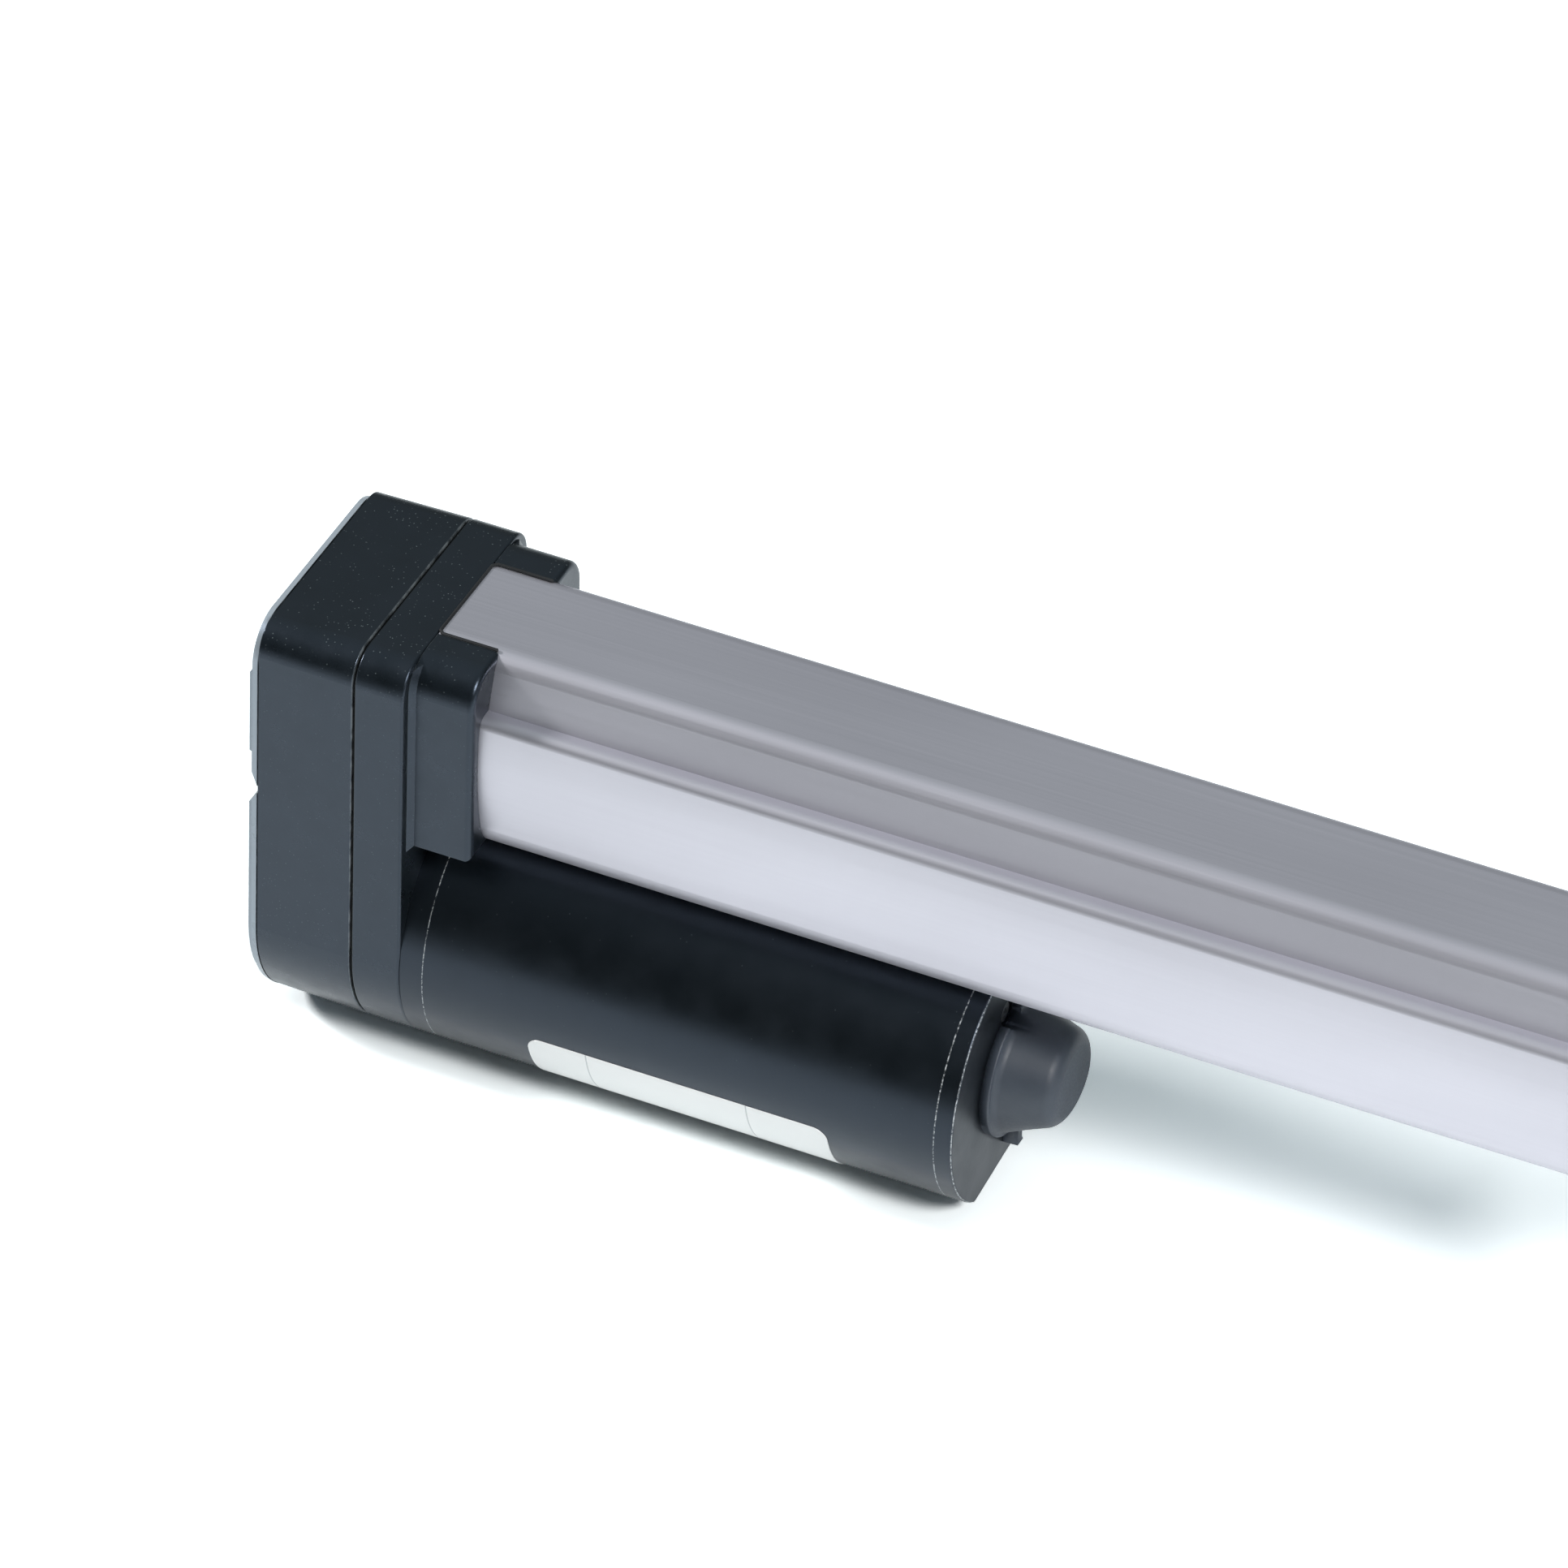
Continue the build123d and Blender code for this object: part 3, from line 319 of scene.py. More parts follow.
def makeTubeFinish(name, look):
    material, tree, shader = newMaterial(name)
    lines = grain(tree, look["dieLine"], 3.0, (look["stretch"], 1, 1))
    clouds = grain(tree, look["clouds"], 2.0, (0.3, 1, 1))
    tone = addNode(tree, "ShaderNodeMapRange", {"Value": clouds, **between(*spread)})
    rough = addNode(tree, "ShaderNodeMapRange", {"Value": lines, **between(*spread, *look["roughness"])})
    faint = addNode(tree, "ShaderNodeMath", {0: grain(tree, look["grain"]), 1: 0.5}, operation="MULTIPLY")
    height = addNode(tree, "ShaderNodeMath", {0: lines, 1: faint}, operation="ADD")
    setInputs(tree, shader, {
        "Base Color": addNode(tree, "ShaderNodeMix", {
            0: tone, 1: hexColour(look["shadow"]), 2: hexColour(look["colour"])}, data_type="RGBA"),
        "Metallic": look["metal"],
        "Roughness": rough,
        "Normal": addNode(tree, "ShaderNodeBump", {"Height": height, "Distance": look["depth"] * mm}),
    })
    return material


# Semi-gloss paint on rolled steel: smooth and near black, chipped to bare metal along the joints
motorPaint = {
    "colour": "#06090B",
    "second": "#0B0E10",
    "worn": "#D9DDDF",
    "dust": "#7C8486",
    "tonePatch": 18.0,          # mm, as all sizes here
    "roughness": (0.28, 0.38),  # least and most
    "roughPatch": 9.0,
    "gloss": 0.70,
    "sheen": "#CBDDF8",
    "peel": 1.6,                # the paint's slow ripple
    "peelHeight": 0.008,
    "chip": 0.7,
    "chipWidth": (0.14, 0.18, 0.34),    # half the width of the bare line at each joint
    "chipFull": 0.6,            # the share of it that is all bare
    "chipDepth": 0.35,          # how far down the end face a chip reaches
    "chipShare": 0.9,
    "dustSpacing": 2.2,
    "dustSize": 0.09,
    "dustKept": 0.4,
    "dustShare": 0.18,
}


def makeMotorPaint(name, look, joints):
    material, tree, shader = newMaterial(name)
    axes = addNode(tree, "ShaderNodeSeparateXYZ", {"Vector": onObject(tree)})
    height = addNode(tree, "ShaderNodeMath", {0: axes.outputs["Z"], 1: motorZ}, operation="SUBTRACT")
    squares = [addNode(tree, "ShaderNodeMath", {0: side, 1: side}, operation="MULTIPLY")
               for side in (axes.outputs["Y"], height)]
    square = addNode(tree, "ShaderNodeMath", dict(enumerate(squares)), operation="ADD")
    radius = addNode(tree, "ShaderNodeMath", {0: square}, operation="SQRT")
    chipDepth = look["chipDepth"] * mm
    rim = addNode(tree, "ShaderNodeMapRange", {
        "Value": radius, **between(motorRadius - chipDepth, motorRadius - chipDepth * 0.8)})
    widths = zip(joints, look["chipWidth"])
    worn = anyOf(tree, [lineAt(tree, axes, x, width * look["chipFull"], width) for x, width in widths])
    broken = addNode(tree, "ShaderNodeMapRange", {
        "Value": grain(tree, look["chip"], 5.0, roughness=0.8),
        **between(0.44, 0.60, 0.0, look["chipShare"])})
    worn = addNode(tree, "ShaderNodeMath", {0: worn, 1: broken}, operation="MULTIPLY")
    worn = addNode(tree, "ShaderNodeMath", {0: worn, 1: rim}, operation="MULTIPLY")
    specked = specks(tree, look["dustSpacing"], look["dustSize"], look["dustKept"])
    shade = addNode(tree, "ShaderNodeMix", {
        0: patches(tree, look["tonePatch"], between(*spread)),
        1: hexColour(look["colour"]), 2: hexColour(look["second"])}, data_type="RGBA")
    shade = addNode(tree, "ShaderNodeMix", {
        0: dustOn(tree, specked, look["dustShare"]), 1: shade, 2: hexColour(look["dust"])}, data_type="RGBA")
    shade = addNode(tree, "ShaderNodeMix", {
        0: worn, 1: shade, 2: hexColour(look["worn"])}, data_type="RGBA")
    setInputs(tree, shader, {
        "Base Color": shade,
        "Roughness": patches(tree, look["roughPatch"], between(*spread, *look["roughness"])),
        "Specular IOR Level": look["gloss"],
        "Specular Tint": hexColour(look["sheen"]),
        "Normal": addNode(tree, "ShaderNodeBump", {
            "Height": grain(tree, look["peel"], 1.0), "Distance": look["peelHeight"] * mm}),
    })
    return material


# White film label: satin, with two thin grey rules across it
labelFilm = {
    "colour": "#FFFFFF",
    "second": "#FAFCFC",
    "tonePatch": 8.0,           # mm, as all sizes here
    "toneShare": 0.3,
    "rule": "#8F959B",
    "rules": (14.5, 53.5),      # from its rear end
    "ruleWidth": (0.14, 0.21),  # on each side of its middle: all of it, and where it ends
    "ruleShare": 0.5,
    "roughness": 0.35,
    "gloss": 0.9,
    "ripple": 2.5,
    "rippleHeight": 0.004,
}


def makeLabelFilm(name, look, start):
    material, tree, shader = newMaterial(name)
    axes = addNode(tree, "ShaderNodeSeparateXYZ", {"Vector": onObject(tree)})
    lines = anyOf(tree, [lineAt(tree, axes, start + x * mm, *look["ruleWidth"]) for x in look["rules"]])
    printed = addNode(tree, "ShaderNodeMath", {0: lines, 1: look["ruleShare"]}, operation="MULTIPLY")
    tone = addNode(tree, "ShaderNodeMix", {
        0: patches(tree, look["tonePatch"], between(*spread, 0.0, look["toneShare"]), 2.0),
        1: hexColour(look["colour"]), 2: hexColour(look["second"])}, data_type="RGBA")
    setInputs(tree, shader, {
        "Base Color": addNode(tree, "ShaderNodeMix", {
            0: printed, 1: tone, 2: hexColour(look["rule"])}, data_type="RGBA"),
        "Roughness": look["roughness"],
        "Specular IOR Level": look["gloss"],
        "Normal": addNode(tree, "ShaderNodeBump", {
            "Height": grain(tree, look["ripple"], 1.0), "Distance": look["rippleHeight"] * mm}),
    })
    return material


# One recipe for the moulded, machined and cast pieces: a tone that varies, a grain and its bump.
# Each has its name, two colours, roughness, metallic, and grain and its height in mm,
# and some have the size in mm of their patches of tone and how the grain is stretched
finishTable = {
    # moulded plastic, a soft grey with a little blue
    "cover": ("greyMouldedCover", "#3B414B", "#444B55", 0.48, 0.0, 0.6, 0.008),
    # moulded rubber, matt with a fine tooth
    "rubber": ("mattRubber", "#15171A", "#202326", 0.75, 0.0, 0.3, 0.02),
    # rolled or cold-headed steel under bright zinc, with cloudy reflections
    "zinc": ("zincPlatedSteel", "#A9ACAE", "#8F9396", 0.36, 1.0, 0.4, 0.004, 3.0),
    # ground steel: bright, its rings round the axis are too fine to show
    "ground": ("groundSteel", "#B6B8BA", "#9DA0A3", 0.28, 1.0, 0.3, 0.003, 9.0),
    # polished stainless rod, nearly a mirror
    "polished": ("polishedStainless", "#D0D1D3", "#C2C4C7", 0.14, 1.0, 0.4, 0.001, 20.0),
    # hobbed steel teeth, grey with an oily sheen
    "gear": ("hobbedSteel", "#8B8E91", "#76797C", 0.38, 1.0, 0.25, 0.006, 5.0),
    # turned bronze, warm and dull
    "bronze": ("machinedBronze", "#B58A4E", "#9E7640", 0.34, 1.0, 0.3, 0.004, 6.0),
    # enamelled copper wire, wound along the rotor
    "copper": ("enamelledCopper", "#A85A32", "#8C4526", 0.3, 1.0, 0.7, 0.03, 4.0, (1, 0.2, 0.2)),
    # stacked steel sheets, which show as fine lines across
    "core": ("laminatedCoreSteel", "#6C6E70", "#55585A", 0.45, 1.0, 0.5, 0.02, 4.0, (1, 0.02, 0.02)),
    # pressed and fired ferrite, dark and dry
    "ferrite": ("pressedFerrite", "#2E3033", "#3A3D40", 0.7, 0.0, 0.5, 0.02),
    # pressed carbon, black with a faint shine
    "carbon": ("pressedCarbon", "#1C1D1F", "#2A2B2D", 0.6, 0.0, 0.3, 0.01),
    # glass cloth board under green lacquer
    "board": ("lacqueredBoard", "#1E4A2C", "#255A36", 0.35, 0.0, 0.8, 0.004),
    # moulded black plastic, satin
    "blackPlastic": ("mouldedBlackPlastic", "#1B1C1E", "#232527", 0.5, 0.0, 0.4, 0.006),
    # moulded acetal, creamy and smooth
    "acetal": ("mouldedAcetal", "#E3DECF", "#D8D2C0", 0.4, 0.0, 0.5, 0.004),
}
roughSwing = 0.05               # how far the roughness of each swings about its middle


def makeFinish(name, colour, second, roughness, metallic, size, height, patch=12.0, stretch=(1, 1, 1)):
    material, tree, shader = newMaterial(name)
    fine = grain(tree, size, 3.0, stretch)
    setInputs(tree, shader, {
        "Base Color": addNode(tree, "ShaderNodeMix", {
            0: patches(tree, patch, between(*spread)),
            1: hexColour(colour), 2: hexColour(second)}, data_type="RGBA"),
        "Metallic": metallic,
        "Roughness": addNode(tree, "ShaderNodeMapRange", {
            "Value": fine, **between(*spread, roughness - roughSwing, roughness + roughSwing)}),
        "Normal": addNode(tree, "ShaderNodeBump", {"Height": fine, "Distance": height * mm}),
    })
    return material


finishes = {
    "caseCoat": makeCaseCoat("powderCoatedCasting", caseCoat),
    "tubeFinish": makeTubeFinish("satinAnodisedExtrusion", tubeFinish),
    "motorPaint": makeMotorPaint("semiGlossMotorPaint", motorPaint, (ringEnd, canEnd, capEnd)),
    "label": makeLabelFilm("whiteLabelFilm", labelFilm, labelStart),
    **{key: makeFinish(*row) for key, row in finishTable.items()},
}

wears = {
    "caseCoat": ["rear_cover", "front_housing", "front_end_cap"],
    "tubeFinish": ["outer_tube"],
    "motorPaint": ["motor_front_ring", "motor_tube", "motor_end_cap"],
    "label": ["rating_label"],
    "rubber": ["housing_gasket", "wiper_seal"],
    "ground": ["spindle_bearing_ring", "spindle_bearing_race", "motor_bearing_rings", "motor_bearing_races",
               "idler_axle", "motor_shaft", "rod_eye", "eye_cross_pin"],
    "polished": ["push_rod"],
    "gear": ["motor_pinion", "idler_gear", "spindle_gear"],
    "bronze": ["drive_nut", "spindle_tail_bush"],
    "copper": ["armature_windings", "commutator"],
    "core": ["armature"],
    "ferrite": ["motor_magnets"],
    "carbon": ["brushes"],
    "board": ["switch_board"],
    "blackPlastic": ["brush_holder", "limit_switches"],
    "acetal": ["guide_bush"],
}


def dress(node, material):
    slots = nodes[node].material_slots
    if not slots:
        nodes[node].data.materials.append(material)
    for slot in slots:
        slot.material = material


for finish, names in wears.items():
    for name in names:
        dress(name, finishes[finish])
print("materials on", sum(len(v) for v in wears.values()), "nodes")


# Screws, spindle and bead: each is one Geometry Nodes tree, turned into a plain mesh

def newTree(name, sizes):
    tree = bpy.data.node_groups.new(name, "GeometryNodeTree")
    tree.interface.new_socket("Geometry", in_out="INPUT", socket_type="NodeSocketGeometry")
    for size in sizes:
        tree.interface.new_socket(size, in_out="INPUT", socket_type="NodeSocketFloat")
    tree.interface.new_socket("Geometry", in_out="OUTPUT", socket_type="NodeSocketGeometry")
    return tree, addNode(tree, "NodeGroupInput").outputs


def closeTree(tree, shape, material):
    real = addNode(tree, "GeometryNodeRealizeInstances", {"Geometry": shape})
    coat = addNode(tree, "GeometryNodeSetMaterial", {"Geometry": real, "Material": material})
    addNode(tree, "NodeGroupOutput", {"Geometry": coat})


def finishPiece(name, mesh, sharpAngle):
    mesh.shade_smooth()
    mesh.set_sharp_from_angle(angle=sharpAngle)
    piece = bpy.data.objects.new(name, mesh)
    scene.collection.objects.link(piece)
    return piece


def runTree(name, carrier, tree, sizes, sharpAngle):
    holder = bpy.data.objects.new(name + "Carrier", carrier)
    scene.collection.objects.link(holder)
    modifier = holder.modifiers.new("shape", "NODES")
    modifier.node_group = tree
    sockets = {item.name: item.identifier for item in tree.interface.items_tree if item.in_out == "INPUT"}
    for size, value in sizes.items():
        modifier[sockets[size]] = float(value)
    seen = holder.evaluated_get(bpy.context.evaluated_depsgraph_get())
    mesh = bpy.data.meshes.new_from_object(seen)
    holder.modifiers.remove(modifier)
    bpy.data.objects.remove(holder)
    return finishPiece(name, mesh, sharpAngle)


def atHeight(tree, shape, z):
    place = addNode(tree, "ShaderNodeCombineXYZ", {"Z": z})
    return addNode(tree, "GeometryNodeTransform", {"Geometry": shape, "Translation": place})


def ridge(tree, radius, depth, length, lead):
    # one start of a thread: a helix on the root with a four-sided ridge along it
    turns = addNode(tree, "ShaderNodeMath", {0: length, 1: lead}, operation="DIVIDE")
    middle = addNode(tree, "ShaderNodeMath", {0: radius, 1: depth}, operation="SUBTRACT")
    path = addNode(tree, "GeometryNodeCurveSpiral", {
        "Resolution": 20, "Rotations": turns, "Start Radius": middle, "End Radius": middle, "Height": length})
    profile = addNode(tree, "GeometryNodeCurvePrimitiveCircle", {"Resolution": 4, "Radius": depth})
    return addNode(tree, "GeometryNodeCurveToMesh", {
        "Curve": path, "Profile Curve": profile, "Fill Caps": True})


def roundBar(tree, radius, length, sides, low):
    bar = addNode(tree, "GeometryNodeMeshCylinder", {"Vertices": sides, "Radius": radius, "Depth": length})
    half = addNode(tree, "ShaderNodeMath", {0: length, 1: 0.5}, operation="MULTIPLY")
    middle = addNode(tree, "ShaderNodeMath", {0: low, 1: half}, operation="ADD")
    return atHeight(tree, bar, middle)


# Zinc-plated socket screws: mm, with the head's outer end towards side * X
screwSizes = ("Head radius", "Head height", "Chamfer", "Socket radius", "Socket depth",
              "Shank radius", "Thread depth", "Length", "Pitch", "Side")
commonScrew = {
    "Head radius": 3.5,
    "Head height": 4.0,
    "Chamfer": 0.35,
    "Socket radius": 1.73,
    "Socket depth": 2.2,
    "Shank radius": 2.0,
    "Thread depth": 0.35,
    "Pitch": 0.7,
    "Side": -1,
}
capScrew = {
    "Head radius": 2.5,
    "Head height": 1.8,
    "Chamfer": 0.2,
    "Socket radius": 1.25,
    "Socket depth": 1.0,
    "Shank radius": 1.5,
    "Thread depth": 0.27,
    "Pitch": 0.5,
    "Side": 1,
}
screwSets = {
    "cover_screws": {},
    "tube_screws": {},
    "end_cap_screws": {"Side": 1},
    "motor_mount_screws": {},
    "motor_cap_screws": capScrew,
}
headSides, shankSides, hexSides = 40, 32, 6
screwSharp = 0.6                # radians


def makeScrewTree(material):
    tree, given = newTree("socketScrew", screwSizes)
    below = {}                  # how far below the head's end each of these starts
    for size in ("Length", "Head height", "Chamfer", "Socket depth"):
        below[size] = addNode(tree, "ShaderNodeMath", {0: given[size], 1: -1.0}, operation="MULTIPLY")
    less = {}
    for whole, part in (("Length", "Head height"), ("Head height", "Chamfer"), ("Head radius", "Chamfer"),
                        ("Shank radius", "Thread depth")):
        less[whole] = addNode(tree, "ShaderNodeMath", {0: given[whole], 1: given[part]}, operation="SUBTRACT")
    body = roundBar(tree, given["Head radius"], less["Head height"], headSides, below["Head height"])
    crown = addNode(tree, "GeometryNodeMeshCone", {
        "Vertices": headSides, "Radius Top": less["Head radius"], "Radius Bottom": given["Head radius"],
        "Depth": given["Chamfer"]})
    crown = atHeight(tree, crown, below["Chamfer"])
    hexLength = addNode(tree, "ShaderNodeMath", {0: given["Socket depth"], 1: 1.5}, operation="MULTIPLY")
    hexagon = roundBar(tree, given["Socket radius"], hexLength, hexSides, below["Socket depth"])
    parts = []
    for shape in (body, crown):
        parts.append(addNode(tree, "GeometryNodeMeshBoolean", {"Mesh 1": shape, "Mesh 2": hexagon},
                             operation="DIFFERENCE", solver="EXACT"))
    parts.append(roundBar(tree, less["Shank radius"], less["Length"], shankSides, below["Length"]))
    halfThread = addNode(tree, "ShaderNodeMath", {0: given["Thread depth"], 1: 0.5}, operation="MULTIPLY")
    thread = ridge(tree, given["Shank radius"], halfThread, less["Length"], given["Pitch"])
    parts.append(atHeight(tree, thread, below["Length"]))
    quarter = addNode(tree, "ShaderNodeMath", {0: given["Side"], 1: math.pi / 2}, operation="MULTIPLY")
    turn = addNode(tree, "ShaderNodeCombineXYZ", {"Y": quarter})
    placed = addNode(tree, "GeometryNodeInstanceOnPoints", {
        "Points": given["Geometry"],
        "Instance": addNode(tree, "GeometryNodeJoinGeometry", {0: parts[::-1]}),
        "Rotation": addNode(tree, "FunctionNodeEulerToRotation", {0: turn})})
    closeTree(tree, placed, material)
    return tree


def islands(node):
    # the boxes of a node's separate bodies, measured on a merged copy of its mesh
    shell = bmesh.new()
    shell.from_mesh(nodes[node].data)
    bmesh.ops.remove_doubles(shell, verts=shell.verts, dist=mergeDistance)
    boxes, done = [], set()
    for first in shell.verts:
        if first in done:
            continue
        waiting, points = [first], []
        done.add(first)
        while waiting:
            vertex = waiting.pop()
            points.append(vertex.co.copy())
            for edge in vertex.link_edges:
                other = edge.other_vert(vertex)
                if other not in done:
                    done.add(other)
                    waiting.append(other)
        boxes.append([Vector([pick(p[i] for p in points) for i in range(3)]) for pick in (min, max)])
    shell.free()
    return boxes


def makeScrews(tree, node, special):
    sizes = {**commonScrew, **special}
    boxes = islands(node)
    side = sizes["Side"]
    places = [((high if side > 0 else low).x, (low.y + high.y) / 2, (low.z + high.z) / 2)
              for low, high in boxes]
    carrier = bpy.data.meshes.new(node + "Points")
    carrier.from_pydata(places, [], [])
    given = {name: value * mm for name, value in sizes.items() if name != "Side"}
    given.update({"Side": side, "Length": boxes[0][1].x - boxes[0][0].x})
    words = node.split("_")
    name = words[0] + "".join(word.title() for word in words[1:])
    piece = runTree(name, carrier, tree, given, screwSharp)
    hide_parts(node)
    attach(piece, "housing")


screwTree = makeScrewTree(finishes["zinc"])
for node, special in screwSets.items():
    makeScrews(screwTree, node, special)
print("screws made")


# Spindle: ground journals and a four-start thread, 12 mm of travel per turn
spindleLook = {
    # each from, to and radius, mm
    "journals": ((4.5, 17.7, 4.0), (17.7, 25.2, 6.0), (25.2, 36.2, 7.5), (36.2, 41.2, 9.5)),
    "sides": 64,
    "threadEnd": 291.2,
    "tip": 1.0,                 # the root goes on past the thread
    "Thread radius": 7.0,
    "Thread depth": 1.0,
    "Lead": 12.0,
    "starts": 4,
    "sharp": 0.5,               # radians
}


def makeSpindle(look, material):
    sizes = {name: look[name] * mm for name in ("Thread radius", "Thread depth", "Lead")}
    tree, given = newTree("spindle", sizes)
    low = look["journals"][-1][1]
    length = (look["threadEnd"] - low) * mm
    parts = []
    for start, end, radius in look["journals"]:
        parts.append(roundBar(tree, radius * mm, (end - start) * mm, look["sides"], (start - low) * mm))
    root = addNode(tree, "ShaderNodeMath", {
        0: given["Thread radius"], 1: given["Thread depth"]}, operation="SUBTRACT")
    parts.append(roundBar(tree, root, length + look["tip"] * mm, look["sides"], 0.0))
    halfThread = addNode(tree, "ShaderNodeMath", {0: given["Thread depth"], 1: 0.5}, operation="MULTIPLY")
    one = ridge(tree, given["Thread radius"], halfThread, length, given["Lead"])
    for k in range(look["starts"]):
        turn = (0, 0, 2 * math.pi * k / look["starts"])
        parts.append(addNode(tree, "GeometryNodeTransform", {"Geometry": one, "Rotation": turn}))
    upright = addNode(tree, "GeometryNodeJoinGeometry", {0: parts[::-1]})
    lying = addNode(tree, "GeometryNodeTransform", {
        "Geometry": upright, "Rotation": (0, math.pi / 2, 0), "Translation": (low * mm, 0, 0)})
    closeTree(tree, lying, material)
    piece = runTree("spindle", bpy.data.meshes.new("spindlePoints"), tree, sizes, look["sharp"])
    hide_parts("lead_screw")
    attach(piece, "spindle")


makeSpindle(spindleLook, finishes["ground"])
print("spindle made")


# Terminal cover: the moulding's underside rises towards its end, which the plain dome does not show
coverLook = {
    "foot": 3.0,                # mm of it at the cap that stay as they are
    "rise": 3.6,
    "gather": 0.8,              # how much its sides draw in below
    "sharp": 0.6,               # radians
}


def makeCover(look, material):
    low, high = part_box("terminal_cover")
    middle, half = (low.z + high.z) / 2, (high.z - low.z) / 2
    start = low.x + look["foot"] * mm
    shell = bmesh.new()
    shell.from_mesh(nodes["terminal_cover"].data)
    bmesh.ops.remove_doubles(shell, verts=shell.verts, dist=mergeDistance)
    for vertex in shell.verts:
        along = max(0.0, (vertex.co.x - start) / (high.x - start))
        below = max(0.0, (middle - vertex.co.z) / half)
        vertex.co.z += look["rise"] * mm * along * below
        vertex.co.y *= 1.0 - look["gather"] * mm / half * along * below
    bmesh.ops.recalc_face_normals(shell, faces=shell.faces)
    mesh = bpy.data.meshes.new("terminalCover")
    shell.to_mesh(mesh)
    shell.free()
    mesh.materials.append(material)
    piece = finishPiece("terminalCover", mesh, look["sharp"])
    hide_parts("terminal_cover")
    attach(piece, "housing")


makeCover(coverLook, finishes["cover"])
print("cover made")


# Black bead round the mouth of the case, where the tube goes in; it stands a little proud. It stands for the
# case's mouth being a little proud of the tube, and its black is painted shade for the dark gap between case
# and tube
shadeGapLook = {
    "Radius": 0.42,             # mm
    "Corner": 1.0,
    "halfWidth": 14.0,
    "reach": 14.3,              # along the tube from the case's flange
    "proud": 0.05,
    "sides": 12,
    "sharp": 1.0,               # radians
}


def makeShadeGapBead(look, material):
    sizes = {name: look[name] * mm for name in ("Radius", "Corner")}
    tree, given = newTree("shadeGapBead", sizes)
    path = addNode(tree, "GeometryNodeMeshToCurve", {"Mesh": given["Geometry"]})
    rounded = addNode(tree, "GeometryNodeFilletCurve", {"Curve": path, "Radius": given["Corner"]})
    profile = addNode(tree, "GeometryNodeCurvePrimitiveCircle", {
        "Resolution": look["sides"], "Radius": given["Radius"]})
    swept = addNode(tree, "GeometryNodeCurveToMesh", {
        "Curve": rounded, "Profile Curve": profile, "Fill Caps": True})
    closeTree(tree, swept, material)
    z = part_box("outer_tube")[1].z + look["proud"] * mm
    reach, half = flangeX + look["reach"] * mm, look["halfWidth"] * mm
    points = [(reach, -half, z), (flangeX, -half, z), (flangeX, half, z), (reach, half, z)]
    carrier = bpy.data.meshes.new("beadPath")
    carrier.from_pydata(points, [(0, 1), (1, 2), (2, 3)], [])
    piece = runTree("shadeGapBead", carrier, tree, sizes, look["sharp"])
    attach(piece, "housing")


makeShadeGapBead(shadeGapLook, finishes["rubber"])
print("bead made")


# Studio: a pale floor that is also the background, a soft box at each end and a dim room

studio = {
    "floor": "#F6FAFA",
    "floorSize": 30.0,
    "shownGain": 1.95,          # the photograph's floor is past white, so its single shadows vanish
    "mirrorGain": 1.42,
    "paintedShadeEdge": -0.265,        # painted shade: in front of here the floor is darker to reflections and bounced light, while the camera sees it white
    "edgeBlur": 0.02,
    "paintedShadeLevel": 0.40,
    "fadeStart": 0.40,          # past here the floor is shown white whatever light falls on it
    "fadeEnd": 0.95,
    "room": "#E4F0F3",
    "zenith": 0.74,
    "horizon": 0.13,
    "frontShare": 0.42,         # the room is darker behind the camera than behind the object
    "leftPlace": (-1.48, -0.22, 0.98),
    "leftPower": 24.0,
    "leftSize": 0.30,
    "rightPlace": (0.98, -0.50, 0.76),
    "rightPower": 10.0,
    "rightSize": 0.26,
    "litPoint": ((cadLow.x + cadHigh.x) / 3, 0, 0),
}


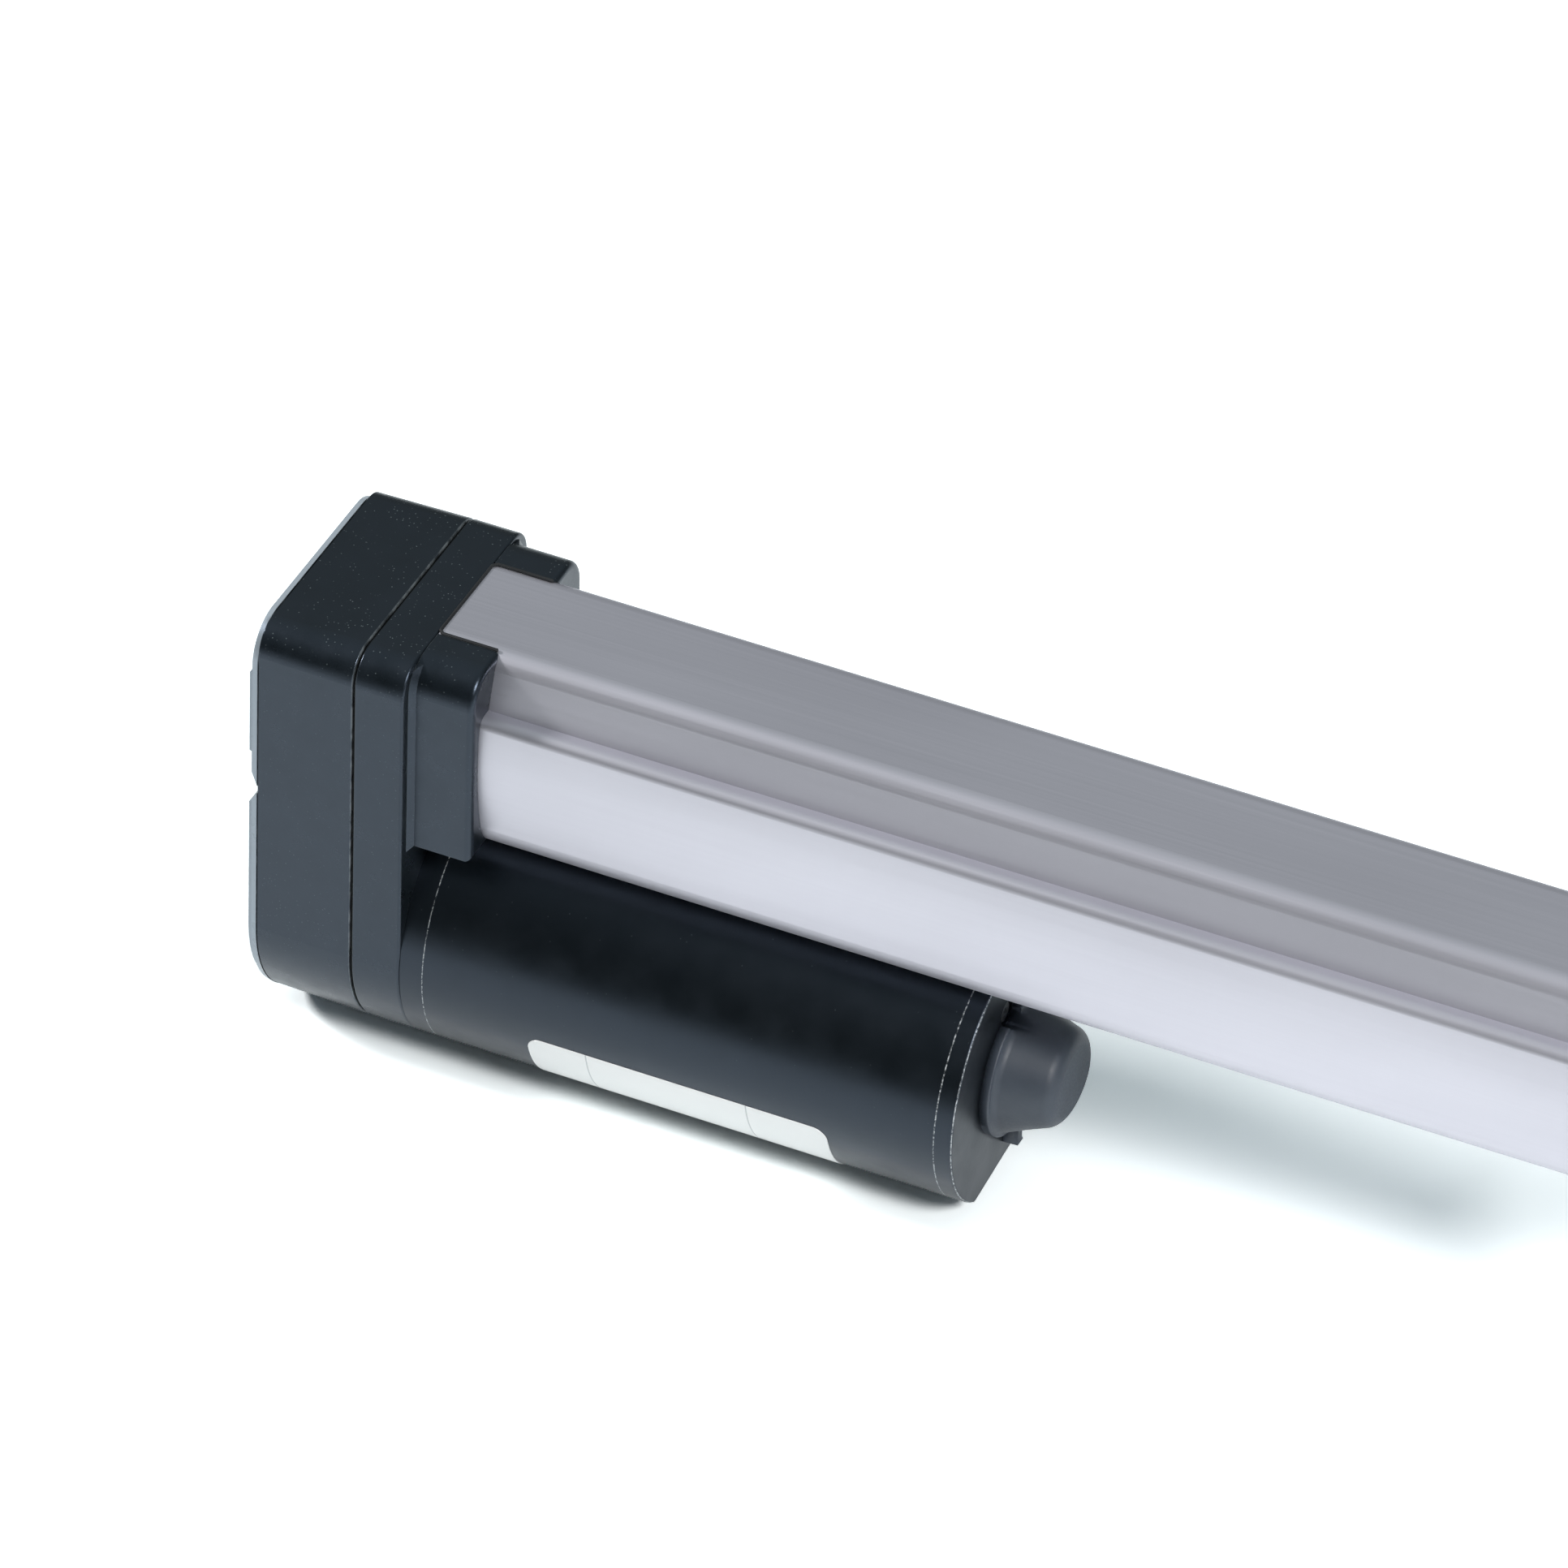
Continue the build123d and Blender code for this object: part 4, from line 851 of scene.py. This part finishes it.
def makeFloor(look):
    half = look["floorSize"] / 2
    mesh = bpy.data.meshes.new("floor")
    corners = [(x * half, y * half, floorZ) for x, y in ((-1, -1), (1, -1), (1, 1), (-1, 1))]
    mesh.from_pydata(corners, [], [(0, 1, 2, 3)])
    floor = bpy.data.objects.new("floor", mesh)
    scene.collection.objects.link(floor)
    material, tree, shader = newMaterial("paleFloor")
    tree.nodes.remove(shader)
    rays = addNode(tree, "ShaderNodeLightPath").outputs
    shown = rays["Is Camera Ray"]
    mirrored = anyOf(tree, [rays["Is Glossy Ray"], rays["Is Transmission Ray"]])
    axes = addNode(tree, "ShaderNodeSeparateXYZ", {"Vector": onObject(tree)})
    # painted shade on the floor in front of the object, seen only in reflections and bounced light
    edge, blur = look["paintedShadeEdge"], look["edgeBlur"]
    paintedFloorShade = addNode(tree, "ShaderNodeMapRange", {
        "Value": axes.outputs["Y"], **between(edge - blur, edge + blur, look["paintedShadeLevel"], 1.0)})
    gain = anyOf(tree, [paintedFloorShade, shown])
    for ray, most in ((mirrored, look["mirrorGain"]), (shown, look["shownGain"])):
        more = addNode(tree, "ShaderNodeMapRange", {"Value": ray, **between(0.0, 1.0, 1.0, most)})
        gain = addNode(tree, "ShaderNodeMath", {0: gain, 1: more}, operation="MULTIPLY")
    tint = addNode(tree, "ShaderNodeVectorMath", {
        "Vector": hexColour(look["floor"])[:3], "Scale": gain}, operation="SCALE")
    away = addNode(tree, "ShaderNodeVectorMath", {"Vector": onObject(tree)}, operation="LENGTH")
    far = addNode(tree, "ShaderNodeMapRange", {"Value": away, **between(look["fadeStart"], look["fadeEnd"])})
    far = addNode(tree, "ShaderNodeMath", {0: far, 1: shown}, operation="MULTIPLY")
    both = addNode(tree, "ShaderNodeAddShader", {
        0: addNode(tree, "ShaderNodeBsdfDiffuse", {"Color": tint}),
        1: addNode(tree, "ShaderNodeEmission", {"Strength": far})})
    setInputs(tree, tree.nodes["Material Output"], {"Surface": both})
    mesh.materials.append(material)


def makeWorld(look):
    world = bpy.data.worlds.new("room")
    scene.world = world
    world.use_nodes = True
    tree = world.node_tree
    direction = addNode(tree, "ShaderNodeTexCoord").outputs["Generated"]
    axes = addNode(tree, "ShaderNodeSeparateXYZ", {"Vector": direction})
    height = addNode(tree, "ShaderNodeMapRange", {"Value": axes.outputs["Z"], **between(0.0, 1.0)})
    height = addNode(tree, "ShaderNodeMath", {0: height, 1: height}, operation="MULTIPLY")
    level = addNode(tree, "ShaderNodeMapRange", {
        "Value": height, **between(0.0, 1.0, look["horizon"], look["zenith"])})
    front = addNode(tree, "ShaderNodeMapRange", {
        "Value": axes.outputs["Y"], **between(-1.0, 1.0, look["frontShare"], 1.0)})
    level = addNode(tree, "ShaderNodeMath", {0: level, 1: front}, operation="MULTIPLY")
    shown = addNode(tree, "ShaderNodeLightPath").outputs["Is Camera Ray"]
    unseen = addNode(tree, "ShaderNodeMath", {0: 1.0, 1: shown}, operation="SUBTRACT")
    level = addNode(tree, "ShaderNodeMath", {0: level, 1: unseen}, operation="MULTIPLY")
    setInputs(tree, tree.nodes["Background"], {
        "Strength": addNode(tree, "ShaderNodeMath", {0: level, 1: shown}, operation="ADD"),
        "Color": addNode(tree, "ShaderNodeMix", {
            0: shown, 1: hexColour(look["room"]), 2: hexColour("#FFFFFF")}, data_type="RGBA"),
    })


def makeLamp(name, power, size, place, target):
    data = bpy.data.lights.new(name, "AREA")
    data.energy = power
    data.size = size
    lamp = bpy.data.objects.new(name, data)
    lamp.location = place
    lamp.rotation_euler = (Vector(target) - Vector(place)).to_track_quat("-Z", "Y").to_euler()
    scene.collection.objects.link(lamp)


makeFloor(studio)
makeWorld(studio)
for side in ("left", "right"):
    makeLamp(side + "Lamp", studio[side + "Power"], studio[side + "Size"], studio[side + "Place"],
             studio["litPoint"])
print("studio lit")
